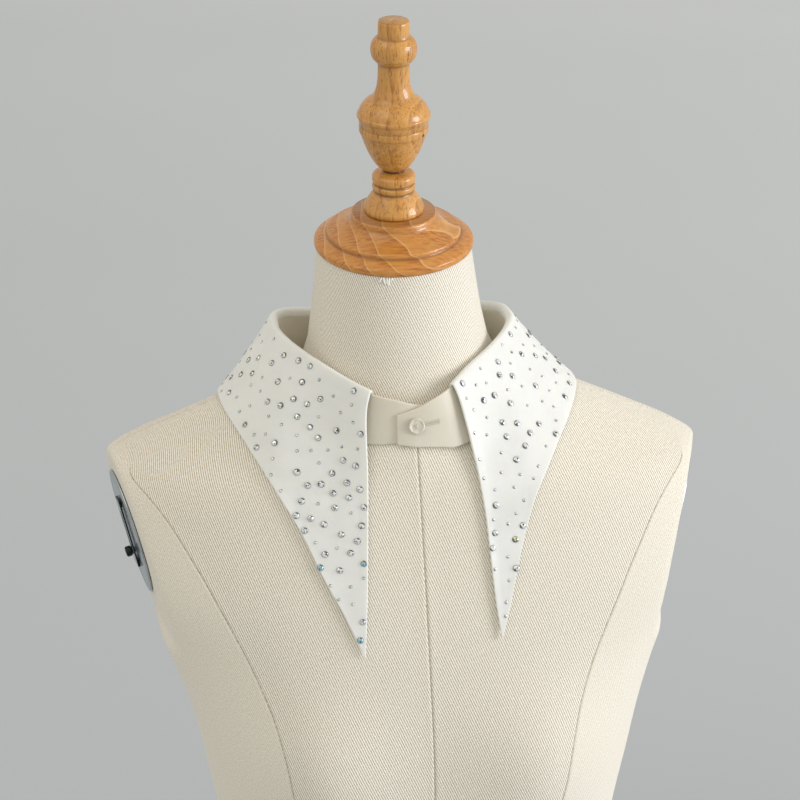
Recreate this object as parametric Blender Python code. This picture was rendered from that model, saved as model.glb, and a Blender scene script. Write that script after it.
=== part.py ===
"""Detachable shirt collar on a limbless dress form. Metres, +Z up, front faces -Y.

The collar has the pieces of a real one: a stand that buttons at the front, and a leaf that is
sewn to its top edge, folds over and falls outside to two long points. The form is a canvas
covered torso that ends flat at the hip, with a turned neck cap, a finial and two arm plates.
The origin is the middle of the torso's flat underside.
"""
import math

import bmesh
import bpy
import numpy as np
from mathutils import Matrix, Vector
from mathutils.bvhtree import BVHTree

MM = 0.001
GAP = 0.3 * MM                      # between pieces that touch or are sewn together

# Dress form
NECK_TOP = 640 * MM                 # height of the neck's cut end above the underside
NECK_TILT = math.radians(9.0)       # the neck's end faces forward by this much
TORSO_SEGMENTS = 64
SHOULDER_DROP = 6 * MM              # the form's left shoulder is this much lower than its right
DROOP_START, DROOP_FULL, DROOP_FADE, DROOP_END = 70 * MM, 130 * MM, 220 * MM, 420 * MM
ARM_PLANE_X = 190.0 * MM             # arm plane's distance from the middle at ARM_PLANE_POINT
ARM_PLANE_Y = 2 * MM
ARM_PLANE_Z = NECK_TOP - 146 * MM
ARM_PLANE_LEAN = math.radians(10.8)  # the arm planes lean inward going down
ARM_PLANE_TURN = math.radians(14.0)  # and turn towards the front
ARM_PLANE_BLEND = 4 * MM
ARMHOLE_FLOOR = NECK_TOP - 248 * MM  # below this the side swells out past the arm plane
ARMHOLE_FLARE = 1.2                 # the plane's limit widens by this for each metre below the floor
BUST_X, BUST_Z, BUST_OUT = 80 * MM, NECK_TOP - 322 * MM, 14 * MM
BUST_WIDE, BUST_HIGH = 46 * MM, 52 * MM

# One row for each level of the torso, from the neck down, in millimetres. drop: how far below the
# neck's end; half_width, front, back: from the middle line; power: 2 is an ellipse, more is squarer;
# shift: how far the middle line lies towards +X; tilt: share of the neck's tilt.
TORSO_LEVELS = [
    # drop, half_width, front, back, power, shift, tilt
    (0, 48.5, 48.5, 48.5, 2.0, 0.0, 1.0),
    (25, 51.5, 50.5, 52.5, 2.0, 0.5, 0.7),
    (48, 55.0, 53.0, 56.0, 2.0, 1.0, 0.35),
    (66, 59.5, 55.5, 59.5, 2.0, 2.0, 0.1),
    (77, 67.0, 58.5, 63.0, 1.9, 3.0, 0.0),
    (86, 85.0, 62.5, 66.5, 1.7, 3.5, 0.0),
    (95, 109.0, 67.5, 71.0, 1.55, 4.0, 0.0),
    (105, 134.0, 71.5, 76.5, 1.5, 4.25, 0.0),
    (115, 157.0, 76.0, 82.5, 1.55, 4.5, 0.0),
    (125, 178.0, 79.0, 87.0, 1.7, 4.75, 0.0),
    (137, 195.0, 82.5, 90.5, 1.95, 5.05, 0.0),
    (165, 203.0, 90.0, 97.0, 2.2, 5.75, 0.0),
    (205, 197.0, 99.5, 101.0, 2.4, 6.75, 0.0),
    (250, 174.0, 107.0, 101.0, 2.5, 7.875, 0.0),
    (300, 157.0, 111.0, 96.0, 2.5, 10.0, 0.0),
    (350, 146.0, 108.0, 88.0, 2.4, 11.0, 0.0),
    (405, 136.0, 98.0, 79.0, 2.3, 11.5, 0.0),
    (450, 131.0, 93.0, 77.0, 2.3, 11.5, 0.0),
    (510, 143.0, 98.0, 88.0, 2.3, 11.5, 0.0),
    (570, 158.0, 104.0, 103.0, 2.3, 11.5, 0.0),
    (630, 165.0, 106.0, 108.0, 2.3, 11.5, 0.0),
    (637, 164.0, 105.0, 107.0, 2.3, 11.5, 0.0),
    (640, 161.0, 102.0, 104.0, 2.3, 11.5, 0.0),
]
LEVEL_COLUMNS = ("drop", "half_width", "front", "back", "power", "shift", "tilt")
RING_DROPS = [0, 12, 24, 36, 48, 58, 66, 73, 79, 85, 90, 95, 101, 108, 116, 124, 132, 141, 151, 163, 177,
              192, 208, 225, 245, 268, 292, 316, 340, 370, 405, 440, 480, 520, 560, 600, 630, 637, 640]

# Turned wood, as rows of (height, radius) in millimetres above the neck's cut end.
NECK_CAP_PROFILE = [
    (0.0, 49.2), (0.8, 50.0), (3.6, 50.0), (4.5, 49.4), (6.0, 46.6), (7.2, 43.4), (7.6, 42.0),
    (10.2, 41.8), (11.0, 40.8), (11.6, 38.0), (13.2, 33.6), (15.6, 29.4), (18.4, 27.0), (21.2, 26.6),
    (22.2, 25.8),
]
FINIAL_PROFILE = [
    (22.5, 18.0), (23.6, 18.9), (25.6, 18.9), (29.0, 17.2), (33.0, 14.6), (36.2, 12.4), (37.0, 12.6),
    (38.0, 13.4), (40.0, 13.4), (41.0, 12.4), (41.8, 12.6), (43.0, 13.4), (46.4, 13.4), (47.8, 12.0),
    (48.6, 8.2), (49.6, 5.8), (51.0, 7.6), (54.2, 11.5), (60.5, 15.2), (66.8, 17.9), (73.0, 20.0),
    (75.0, 20.6), (75.6, 21.3), (79.0, 21.3), (79.6, 20.8), (84.4, 21.8), (85.2, 22.5), (86.6, 22.5),
    (87.4, 21.8), (90.5, 20.6), (94.3, 17.6), (97.5, 12.8), (103.9, 10.2), (111.0, 9.6), (119.0, 9.6),
    (119.8, 11.2), (122.6, 13.4), (127.2, 14.2), (131.6, 13.4), (134.2, 11.2), (135.0, 9.6),
    (143.8, 9.4), (144.6, 8.9),
]

# Arm hardware
ARM_PLATE_Y, ARM_PLATE_Z = 0.0, NECK_TOP - 191 * MM
ARM_PLATE_HALF_WIDE, ARM_PLATE_HALF_HIGH, ARM_PLATE_WALL = 36 * MM, 43 * MM, 1.2 * MM
ARM_PLATE_SEAT = 0.35 * MM
BRACKET_LENGTH, BRACKET_WIDTH, BRACKET_WALL = 48 * MM, 12 * MM, 1.2 * MM
BRACKET_RISE, BRACKET_FOOT = 0.7 * MM, 4 * MM
SLOT_HALF_WIDTH, SLOT_HALF_LENGTH = 2.6 * MM, 16 * MM
SCREW_PLACE = -13.4 * MM             # the thumb screw's place along the bracket, low in its slot
SCREW_STEM, SCREW_COLLAR, SCREW_KNOB = 2.0 * MM, 2.9 * MM, 3.5 * MM

# Collar, in its own axes: across to the wearer's left, along to the back, height from the underside
COLLAR_X = 2 * MM                   # the collar sits this far to the wearer's left
COLLAR_TURN = math.radians(4.2)     # and is turned a little round the neck
STAND_WALL, LEAF_WALL = 1.5 * MM, 1.6 * MM
SEAT = 0.45 * MM                    # between the stand's bottom edge and the canvas
STAND_SEARCH_HEIGHT = NECK_TOP - 40 * MM  # above every place where the stand meets the form
LEAST_SLOPE = 0.3
LEAF_CLEAR = LEAF_WALL / 2 + 1.3 * MM  # from the middle of the leaf's wall to what it lies on
LEAF_REACH = 25 * MM                # how far to each side of a rib the form is looked for
LEAF_EASING, EDGE_EASING = 400, 6   # passes that draw the leaf taut, and its edge
LEAF_FINISHING = 2                  # passes that then round off where it touches
LEAF_ROW_POWER = 1.15               # above 1 the rows are closer together near the fold
OVERLAP_LIFT = STAND_WALL + 2 * GAP  # the buttoned left end lies this far outside the right end
OVERLAP_SHARES = (0.90, 1.05)       # where on the ring it moves out
BOWED_SHARES = (0.80, 1.0)          # where the leaf takes the bow of its front edge
PLAN_STEP = 0.01
FOLD_RISE_BACK, FOLD_RISE_FRONT = 3.0 * MM, 0.3 * MM
FOLD_RADIUS_BACK, FOLD_RADIUS_FRONT = 2.2 * MM, 1.6 * MM
FOLD_STEPS, FOLD_SWEEP = 5, 150
LEAF_COLUMNS, LEAF_ROWS = 74, 13
STAND_COLUMNS, STAND_ROWS = 84, 3
STAND_OVER_END, STAND_UNDER_END = 1.355, -1.41

# One half of the stand's top edge in plan, and the height of the leaf's fold above it.
# share: 0 at the middle of the back, 1 at the leaf's front end.
FOLD_ROWS = [
    # share, right_across, left_across, right_along, left_along, right_height, left_height
    (0.00, 0.0, 0.0, 65.0, 65.0, 578.0, 578.0),
    (0.16, 30.5, 29.0, 61.0, 61.0, 580.0, 579.0),
    (0.30, 55.0, 51.5, 50.0, 50.0, 584.5, 582.0),
    (0.40, 69.0, 65.0, 36.0, 36.0, 589.5, 585.5),
    (0.48, 75.5, 71.5, 20.0, 20.0, 591.5, 587.5),
    (0.56, 76.0, 72.0, 5.0, 5.0, 589.5, 587.0),
    (0.64, 71.0, 67.0, -10.0, -10.0, 585.5, 584.5),
    (0.72, 62.5, 59.0, -23.0, -23.0, 581.0, 582.0),
    (0.80, 52.5, 48.5, -35.5, -36.0, 576.5, 578.5),
    (0.88, 43.0, 37.5, -46.5, -47.0, 572.5, 575.0),
    (0.94, 35.0, 28.3, -55.5, -55.5, 569.5, 571.0),
    (1.00, 26.5, 20.6, -62.5, -62.0, 566.5, 567.7),
]
# The same ring carried on past the leaf's end to the ends of the stand, with the height of the
# stand's own top edge on the under end, the right one, and on the over end.
STAND_END_ROWS = [
    # share, right_across, left_across, right_along, left_along, under_height, over_height
    (1.00, 26.5, 20.6, -62.5, -62.0, 563.5, 564.7),
    (1.12, 13.5, 11.5, -67.0, -67.0, 560.7, 561.5),
    (1.24, 0.0, 0.0, -68.4, -68.4, 557.0, 556.0),
    (1.36, -13.5, -13.0, -67.0, -67.0, 555.5, 551.4),
    (1.44, -21.0, -21.0, -64.4, -64.4, 551.0, 548.0),
]
STAND_TOP_ROWS = FOLD_ROWS + STAND_END_ROWS[1:]
STAND_BOTTOM_ROWS = [
    # share, right_across, left_across, right_along, left_along
    (0.00, 0.0, 0.0, 70.0, 70.0),
    (0.16, 32.0, 31.0, 66.0, 66.0),
    (0.30, 57.0, 55.0, 54.0, 54.0),
    (0.40, 71.0, 68.5, 38.0, 38.0),
    (0.48, 77.5, 75.0, 20.0, 20.0),
    (0.56, 78.5, 76.0, 4.0, 4.0),
    (0.64, 75.0, 73.0, -13.0, -13.0),
    (0.72, 67.5, 67.0, -28.0, -29.0),
    (0.80, 57.5, 58.0, -42.5, -45.0),
    (0.88, 47.0, 46.0, -55.0, -58.0),
    (0.94, 38.6, 37.2, -64.3, -68.3),
    (1.00, 28.0, 25.9, -68.2, -72.5),
    (1.12, 13.5, 13.0, -71.65, -73.9),
    (1.24, 0.0, 0.0, -74.1, -74.1),
    (1.36, -13.0, -13.5, -73.9, -71.65),
    (1.44, -21.0, -22.0, -72.8, -69.6),
]
# How far the leaf's front edge bows towards the middle of the front.
FRONT_BOW_ROWS = [
    # share of the edge from the fold to the point, right, left
    (0.00, 0.0, 0.0),
    (0.07, -1.8, -1.6),
    (0.30, 0.6, -2.0),
    (0.50, 1.6, -1.0),
    (0.70, 1.8, 0.8),
    (0.85, 1.2, 1.3),
    (1.00, 0.0, 0.0),
]
# The leaf's outer edge. share: 0 at the point, 1 at the middle of the back.
RIGHT_EDGE_ROWS = [
    # share, across, along, height
    (0.00, 40.0, -104.0, 405.0),
    (0.08, 52.6, -97.0, 434.0),
    (0.15, 64.0, -90.0, 457.0),
    (0.22, 74.5, -81.0, 482.0),
    (0.29, 87.0, -70.0, 504.0),
    (0.35, 96.0, -57.0, 518.0),
    (0.43, 107.0, -33.0, 533.0),
    (0.50, 114.0, -10.0, 541.5),
    (0.56, 115.0, 10.0, 544.0),
    (0.64, 109.0, 36.0, 538.0),
    (0.73, 92.0, 62.0, 532.0),
    (0.84, 60.0, 79.0, 532.0),
    (1.00, 0.0, 86.0, 533.0),
]
LEFT_EDGE_ROWS = [
    # share, across, along, height
    (0.00, 45.6, -108.5, 412.0),
    (0.06, 51.0, -104.5, 431.0),
    (0.15, 60.0, -96.0, 466.0),
    (0.22, 69.6, -87.0, 494.0),
    (0.28, 78.5, -78.0, 509.0),
    (0.35, 89.5, -63.0, 523.0),
    (0.42, 100.0, -48.0, 533.0),
    (0.49, 108.0, -28.0, 541.0),
    (0.56, 114.0, 4.0, 545.0),
    (0.64, 109.0, 34.0, 538.0),
    (0.73, 92.0, 62.0, 532.0),
    (0.84, 60.0, 79.0, 532.0),
    (1.00, 0.0, 86.0, 533.0),
]

# Front button. Its profile holds (height above the cloth, radius) in millimetres, past the shank.
BUTTON_ACROSS, BUTTON_HEIGHT = -1.4 * MM, 545.2 * MM
BUTTON_PROFILE = [(0.3, 4.4), (0.8, 5.0), (1.8, 5.0), (2.3, 4.5), (1.9, 3.4)]
SHANK_RADIUS = 1.0 * MM
BUTTONHOLE_LENGTH, BUTTONHOLE_WIDTH = 13.8 * MM, 0.8 * MM
BUTTONHOLE_TILT = math.radians(8)
SLIT_STEPS = 4
FRONT_RADIUS = 65 * MM              # the stand's own curve in plan at the button
BUTTON_SEARCH = 200 * MM


def clear_scene():
    for obj in list(bpy.data.objects):
        bpy.data.objects.remove(obj, do_unlink=True)


def material(name, color, roughness, metallic=0.0):
    """A Principled BSDF material with one plain colour."""
    made = bpy.data.materials.new(name)
    made.use_nodes = True
    made.diffuse_color = (*color, 1.0)
    surface = made.node_tree.nodes["Principled BSDF"]
    surface.inputs["Base Color"].default_value = (*color, 1.0)
    surface.inputs["Roughness"].default_value = roughness
    surface.inputs["Metallic"].default_value = metallic
    return made


def add_mesh(name, points, faces, made):
    """One object from points and faces, with its normals turned outward."""
    mesh = bpy.data.meshes.new(name)
    mesh.from_pydata([tuple(p) for p in points], [], faces)
    shape = bmesh.new()
    shape.from_mesh(mesh)
    bmesh.ops.recalc_face_normals(shape, faces=shape.faces)
    shape.to_mesh(mesh)
    shape.free()
    mesh.shade_smooth()
    mesh.set_sharp_from_angle(angle=math.radians(35))
    obj = bpy.data.objects.new(name, mesh)
    bpy.context.scene.collection.objects.link(obj)
    obj.data.materials.append(made)
    return obj


def smooth_through(xs, ys, at):
    """Value at `at` of a monotone cubic through the points (xs, ys)."""
    xs, ys = np.asarray(xs, float), np.asarray(ys, float)
    step = np.diff(xs)
    rise = np.diff(ys) / step
    slope = np.concatenate([rise[:1], (rise[1:] + rise[:-1]) / 2, rise[-1:]])
    flat = rise[1:] * rise[:-1] <= 0
    slope[1:-1][flat] = 0.0
    limit = 3 * np.minimum(np.abs(np.r_[rise[:1], rise]), np.abs(np.r_[rise, rise[-1:]]))
    slope = np.clip(slope, -limit, limit)
    at = np.clip(at, xs[0], xs[-1])
    i = np.clip(np.searchsorted(xs, at) - 1, 0, len(xs) - 2)
    t = (at - xs[i]) / step[i]
    return ((1 + 2 * t) * (1 - t) ** 2 * ys[i] + t * (1 - t) ** 2 * step[i] * slope[i]
            + t * t * (3 - 2 * t) * ys[i + 1] + t * t * (t - 1) * step[i] * slope[i + 1])


def level_at(drop_mm):
    """The torso's level at this drop, as a dict of the table's columns in metres."""
    columns = np.array(TORSO_LEVELS).T
    row = {name: float(smooth_through(columns[0], column, drop_mm))
           for name, column in zip(LEVEL_COLUMNS, columns)}
    for name in ("drop", "half_width", "front", "back", "shift"):
        row[name] *= MM
    return row


def arm_plane_limit(y, z):
    """How far from the middle line the arm plane lies at this depth and height."""
    plane = (ARM_PLANE_X - math.tan(ARM_PLANE_LEAN) * (ARM_PLANE_Z - z)
             + math.tan(ARM_PLANE_TURN) * (y - ARM_PLANE_Y))
    return plane + ARMHOLE_FLARE * max(ARMHOLE_FLOOR - z, 0.0)


def soft_min(a, b, blend):
    """The lesser of a and b, rounded off where they are within `blend` of each other."""
    near = max(blend - abs(a - b), 0.0) / blend
    return min(a, b) - near * near * blend / 4


def torso_point(row, angle):
    """A point of the torso's outside. Angle 0 points to +X and a quarter turn on to the back."""
    across, along = math.cos(angle), math.sin(angle)
    power = 2 / row["power"]
    x = row["half_width"] * math.copysign(abs(across) ** power, across)
    depth = row["back"] if along > 0 else row["front"]
    y = depth * math.copysign(abs(along) ** power, along)
    z = NECK_TOP - row["drop"]
    if y < 0:
        bust = math.exp(-((abs(x) - BUST_X) / BUST_WIDE) ** 2 - ((z - BUST_Z) / BUST_HIGH) ** 2)
        y -= BUST_OUT * bust * min(-y / row["front"], 1.0)
    if row["drop"] > 0.1:
        x = math.copysign(soft_min(abs(x), max(arm_plane_limit(y, z), 0.05), ARM_PLANE_BLEND), x)
    z += y * math.tan(NECK_TILT * row["tilt"])
    z -= SHOULDER_DROP * drooped_share(row["drop"]) * x / (2 * ARM_PLANE_X)
    return Vector((x + row["shift"], y, z))


def drooped_share(drop):
    """Share of SHOULDER_DROP that acts at this level: all of it from the shoulders to the chest."""
    into = (drop - DROOP_START) / (DROOP_FULL - DROOP_START)
    out_of = (DROOP_END - drop) / (DROOP_END - DROOP_FADE)
    return min(max(into, 0.0), 1.0) * min(max(out_of, 0.0), 1.0)


def lathe_rings(rings):
    """Points and faces of a closed body through rings of equal length, with both ends capped."""
    count = len(rings[0])
    points = [p for ring in rings for p in ring]
    faces = []
    for i in range(len(rings) - 1):
        for j in range(count):
            k = (j + 1) % count
            faces.append((i * count + j, i * count + k, (i + 1) * count + k, (i + 1) * count + j))
    faces.append(tuple(range(count)))
    last = (len(rings) - 1) * count
    faces.append(tuple(last + j for j in reversed(range(count))))
    return points, faces


def make_torso(canvas):
    rings = []
    for drop in RING_DROPS:
        row = level_at(drop)
        rings.append([torso_point(row, 2 * math.pi * j / TORSO_SEGMENTS) for j in range(TORSO_SEGMENTS)])
    return add_mesh("form_torso", *lathe_rings(rings), canvas)


def turned(name, profile, segments, seat, made):
    """A solid turned about Z through rows of (height, radius) in millimetres, then put on its seat."""
    rings = []
    for height, radius in profile:
        turn = [2 * math.pi * j / segments for j in range(segments)]
        rings.append([Vector((radius * MM * math.cos(a), radius * MM * math.sin(a), height * MM))
                      for a in turn])
    obj = add_mesh(name, *lathe_rings(rings), made)
    obj.matrix_world = seat
    return obj


def make_neck_cap_and_finial(wood):
    tilt = Matrix.Rotation(NECK_TILT, 4, "X")
    seat = Matrix.Translation((0, 0, NECK_TOP)) @ tilt @ Matrix.Translation((0, 0, GAP))
    turned("neck_cap", NECK_CAP_PROFILE, 48, seat, wood)
    turned("finial", FINIAL_PROFILE, 28, seat, wood)


def arm_facet_point(side, y, z):
    """A point of the flat facet that the arm plane cuts on this side (-1 or +1)."""
    x = side * arm_plane_limit(y, z)
    shift = level_at((NECK_TOP - z) / MM)["shift"]
    return Vector((x + shift, y, z - SHOULDER_DROP * x / (2 * ARM_PLANE_X)))


def arm_facet_frame(side):
    """The matrix of an arm facet: X towards the front, Y up the facet, Z out of the torso."""
    middle = arm_facet_point(side, ARM_PLATE_Y, ARM_PLATE_Z)
    up = (arm_facet_point(side, ARM_PLATE_Y, ARM_PLATE_Z + ARM_PLATE_HALF_HIGH)
          - arm_facet_point(side, ARM_PLATE_Y, ARM_PLATE_Z - ARM_PLATE_HALF_HIGH)).normalized()
    front = (arm_facet_point(side, ARM_PLATE_Y - ARM_PLATE_HALF_WIDE, ARM_PLATE_Z)
             - arm_facet_point(side, ARM_PLATE_Y + ARM_PLATE_HALF_WIDE, ARM_PLATE_Z)).normalized()
    out = front.cross(up)
    if out.x * side < 0:
        out.negate()
    across = up.cross(out)
    matrix = Matrix((across, up, out)).transposed().to_4x4()
    matrix.translation = middle
    return matrix


def extruded(outline, low, high):
    """Points and faces of a flat outline of (x, y), extruded from z = low to z = high."""
    rings = [[Vector((x, y, z)) for x, y in outline] for z in (low, high)]
    return lathe_rings(rings)


def slot_outline(half_width, half_length, turns=8):
    """An upright slot with round ends, as a list of (x, y) that runs round once."""
    straight = half_length - half_width
    top = [(half_width * math.cos(a), straight + half_width * math.sin(a))
           for a in (math.pi * i / turns for i in range(turns + 1))]
    return top + [(-x, -y) for x, y in top]


def cut(target, cutter):
    """Cuts a hidden helper out of target."""
    cutter.hide_render = True
    cutter.display_type = "WIRE"
    modifier = target.modifiers.new("cut " + cutter.name, "BOOLEAN")
    modifier.operation = "DIFFERENCE"
    modifier.solver = "EXACT"
    modifier.object = cutter


def make_arm_plate(side, word, steel):
    """The oval plate that closes the armhole on this side (-1 or +1)."""
    oval = [(ARM_PLATE_HALF_WIDE * math.cos(a), ARM_PLATE_HALF_HIGH * math.sin(a))
            for a in (2 * math.pi * i / 48 for i in range(48))]
    plate = add_mesh("arm_plate_" + word,
                     *extruded(oval, ARM_PLATE_SEAT, ARM_PLATE_SEAT + ARM_PLATE_WALL), steel)
    plate.matrix_world = arm_facet_frame(side)
    return plate


def make_arm_bracket(plate, steel):
    """A slotted bracket on the plate for a detachable arm, and the thumb screw that clamps it."""
    frame = plate.matrix_world
    low = ARM_PLATE_SEAT + ARM_PLATE_WALL + GAP
    deck, top = low + BRACKET_RISE, low + BRACKET_RISE + BRACKET_WALL
    half, foot = BRACKET_LENGTH / 2, BRACKET_FOOT
    side_view = [(-half, low), (-half + foot, low), (-half + foot, deck), (half - foot, deck),
                 (half - foot, low), (half, low), (half, top), (-half, top)]
    rings = [[Vector((x, y, z)) for y, z in side_view]
             for x in (-BRACKET_WIDTH / 2, BRACKET_WIDTH / 2)]
    bracket = add_mesh("arm_bracket", *lathe_rings(rings), steel)
    bracket.matrix_world = frame
    slot = add_mesh("arm_slot_cutter",
                    *extruded(slot_outline(SLOT_HALF_WIDTH, SLOT_HALF_LENGTH), deck - MM / 2, top + MM),
                    steel)
    slot_middle = SCREW_PLACE - SLOT_HALF_WIDTH + SLOT_HALF_LENGTH
    slot.matrix_world = frame @ Matrix.Translation((0, slot_middle, 0))
    cut(bracket, slot)

    above = top - low
    screw_rows = [(0.0, SCREW_STEM), (above + GAP, SCREW_STEM), (above + GAP, SCREW_COLLAR),
                  (above + 0.8 * MM, SCREW_COLLAR), (above + 0.8 * MM, SCREW_KNOB),
                  (above + 4.0 * MM, SCREW_KNOB), (above + 4.5 * MM, SCREW_KNOB - 0.6 * MM)]
    profile = [(height / MM, radius / MM) for height, radius in screw_rows]
    seat = frame @ Matrix.Translation((0, SCREW_PLACE, low))
    turned("arm_screw", profile, 16, seat, steel)


def collar_to_world(across, along, height):
    """World point of the collar's own axes: across to the wearer's left, along to the back."""
    turn = Matrix.Rotation(COLLAR_TURN, 3, "Z")
    flat = turn @ Vector((across, along, 0.0))
    return Vector((flat.x + COLLAR_X, flat.y, height))


def row_at(rows, share):
    """The columns after the first, in metres, read off a table at this share."""
    columns = np.array(rows, float).T
    return [float(smooth_through(columns[0], column, share)) * MM for column in columns[1:]]


def plan_at(rows, share):
    """Plan position on a ring of the stand, from the columns of its own side."""
    right_across, left_across, right_along, left_along = row_at(rows, abs(share))[:4]
    if share >= 0:
        return Vector((left_across, left_along, 0.0))
    return Vector((-right_across, right_along, 0.0))


def smooth_step(low, high, value):
    t = min(max((value - low) / (high - low), 0.0), 1.0)
    return t * t * (3 - 2 * t)


def fold_rise(share):
    """How far the leaf stands up above the stand before it folds over."""
    return FOLD_RISE_BACK + (FOLD_RISE_FRONT - FOLD_RISE_BACK) * smooth_step(0.3, 1.0, abs(share))


def fold_radius(share):
    """Radius of the middle of the leaf's wall round the fold."""
    return FOLD_RADIUS_BACK + (FOLD_RADIUS_FRONT - FOLD_RADIUS_BACK) * smooth_step(0.3, 1.0, abs(share))


def stand_plan(rows, share):
    """Plan position on a ring of the stand, and the way out of the ring there."""
    way = plan_at(rows, share + PLAN_STEP) - plan_at(rows, share - PLAN_STEP)
    return plan_at(rows, share), Vector((-way.y, way.x, 0.0)).normalized()


def overlap_lift(share):
    """How far out of the ring the stand lies: its left end is buttoned over the right one."""
    return OVERLAP_LIFT * smooth_step(*OVERLAP_SHARES, share)


def stand_tops(share):
    """Height of the stand's top edge, and the height where its slope meets the top ring's plan."""
    if abs(share) > 1.0:
        under, over = row_at(STAND_END_ROWS, abs(share))[4:]
        return (over if share > 0 else under), under
    right, left = row_at(FOLD_ROWS, abs(share))[4:]
    below = GAP + fold_rise(share) + fold_radius(share) + LEAF_WALL / 2
    top = (left if share > 0 else right) - below
    return top, top


def surface_below(torso_tree, point):
    """Height and normal of the torso's top surface under a plan position."""
    above = Vector((point.x, point.y, STAND_SEARCH_HEIGHT))
    hit, normal, _, _ = torso_tree.ray_cast(above, Vector((0, 0, -1)))
    return hit.z, max(normal.z, LEAST_SLOPE)


def stand_wall(torso_tree, share):
    """One upright section of the stand: inner points going up, then outer points going down."""
    low, out_low = stand_plan(STAND_BOTTOM_ROWS, share)
    high, out_high = stand_plan(STAND_TOP_ROWS, share)
    top, full = stand_tops(share)
    seats = [surface_below(torso_tree, collar_to_world(*(low + out_low * side * STAND_WALL / 2)))
             for side in (-1, 1)]
    bottom = max(surface + SEAT / slope for surface, slope in seats)
    feet, heads = [], []
    for side in (-1, 1):
        outward = overlap_lift(share) + side * STAND_WALL / 2
        feet.append(collar_to_world(*(low + out_low * outward).xy, bottom))
        heads.append(collar_to_world(*(high + out_high * outward).xy, full))
    reach = (top - bottom) / (full - bottom)
    inner, outer = [[foot.lerp(head, reach * i / STAND_ROWS) for i in range(STAND_ROWS + 1)]
                    for foot, head in zip(feet, heads)]
    return inner + outer[::-1]


def make_stand(torso_tree, cotton):
    count = STAND_COLUMNS
    shares = [STAND_UNDER_END + (STAND_OVER_END - STAND_UNDER_END) * i / count for i in range(count + 1)]
    rings = [stand_wall(torso_tree, share) for share in shares]
    return add_mesh("collar_stand", *lathe_rings(rings), cotton)


def leaf_rib(share):
    """One rib of the leaf's middle, as its fixed points over the fold and its free ones down to the edge.

    The free points lie on a straight line. The way out is square to it.
    """
    plan, out = stand_plan(STAND_TOP_ROWS, share)
    plan += out * overlap_lift(share)
    top = stand_tops(share)[0] + GAP
    rise, radius = fold_rise(share), fold_radius(share)

    def at(outward, up):
        place = plan + out * outward
        return collar_to_world(place.x, place.y, top + up)
    fold = [at(0.0, 0.0), at(0.0, rise)]
    for i in range(1, FOLD_STEPS + 1):
        angle = math.radians(FOLD_SWEEP) * i / FOLD_STEPS
        fold.append(at(radius * (1 - math.cos(angle)), rise + radius * math.sin(angle)))
    is_left = share >= 0
    across, along, height = row_at(LEFT_EDGE_ROWS if is_left else RIGHT_EDGE_ROWS, 1.0 - abs(share))
    edge = collar_to_world(across if is_left else -across, along, height)
    line = (edge - fold[-1]).normalized()
    level_out = at(1.0, 0.0) - at(0.0, 0.0)
    way_out = (level_out - line * level_out.dot(line)).normalized()
    middle_way = collar_to_world(-1.0 if is_left else 1.0, 0.0, 0.0) - collar_to_world(0.0, 0.0, 0.0)
    near_front = smooth_step(*BOWED_SHARES, abs(share))
    free = []
    for i in range(1, LEAF_ROWS + 1):
        along_rib = (i / LEAF_ROWS) ** LEAF_ROW_POWER
        bow = row_at(FRONT_BOW_ROWS, along_rib)[1 if is_left else 0] * near_front
        free.append(fold[-1].lerp(edge, along_rib) + middle_way * bow)
    return fold, free, way_out


def needed_offset(trees, point, way_out):
    """How far along way_out the leaf's middle has to lie from this point to be clear of every tree."""
    needed = -LEAF_REACH
    for tree in trees:
        hit, normal, _, _ = tree.ray_cast(point + way_out * LEAF_REACH, -way_out, 2 * LEAF_REACH)
        if hit:
            steep = max(abs(normal.dot(way_out)), 0.5)
            needed = max(needed, (hit - point).dot(way_out) + LEAF_CLEAR / steep)
    return needed


def draped_leaf(trees):
    """The grid of the leaf's middle points: cloth drawn taut from the fold to the edge over the form."""
    ribs = [leaf_rib(-1.0 + 2.0 * i / LEAF_COLUMNS) for i in range(LEAF_COLUMNS + 1)]
    needed = np.array([[needed_offset(trees, point, way_out) for point in free]
                       for _, free, way_out in ribs])
    edge = needed[:, -1].copy()
    for _ in range(EDGE_EASING):
        edge[1:-1] = np.maximum((edge[:-2] + 2 * edge[1:-1] + edge[2:]) / 4, needed[1:-1, -1])
    offset = np.zeros((LEAF_COLUMNS + 1, LEAF_ROWS + 1))
    offset[:, 1:] = needed
    offset[:, -1] = edge
    for _ in range(LEAF_EASING):
        near = np.vstack([offset[:1], offset, offset[-1:]])
        inner = (near[:-2, 1:-1] + near[2:, 1:-1] + offset[:, :-2] + offset[:, 2:]) / 4
        offset[:, 1:-1] = np.maximum(inner, needed[:, :-1])
    for _ in range(LEAF_FINISHING):
        near = np.vstack([offset[:1], offset, offset[-1:]])
        offset[:, 1:-1] = (near[:-2, 1:-1] + near[2:, 1:-1] + offset[:, :-2] + offset[:, 2:]) / 4
    return [fold + [point + way_out * float(push) for point, push in zip(free, row[1:])]
            for (fold, free, way_out), row in zip(ribs, offset)]


def shell(middle, wall):
    """Points and faces of a wall of even thickness about a grid of middle points."""
    grid = np.array([[tuple(p) for p in row] for row in middle])
    way_s = np.gradient(grid, axis=0)
    way_t = np.gradient(grid, axis=1)
    normal = np.cross(way_s, way_t)
    normal /= np.linalg.norm(normal, axis=2)[:, :, None]
    rings = []
    for row, offset in zip(grid, normal * wall / 2):
        rings.append([Vector(p) for p in (row - offset)] + [Vector(p) for p in (row + offset)[::-1]])
    return lathe_rings(rings)


def make_leaf(trees, cotton):
    return add_mesh("collar_leaf", *shell(draped_leaf(trees), LEAF_WALL), cotton)


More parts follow.
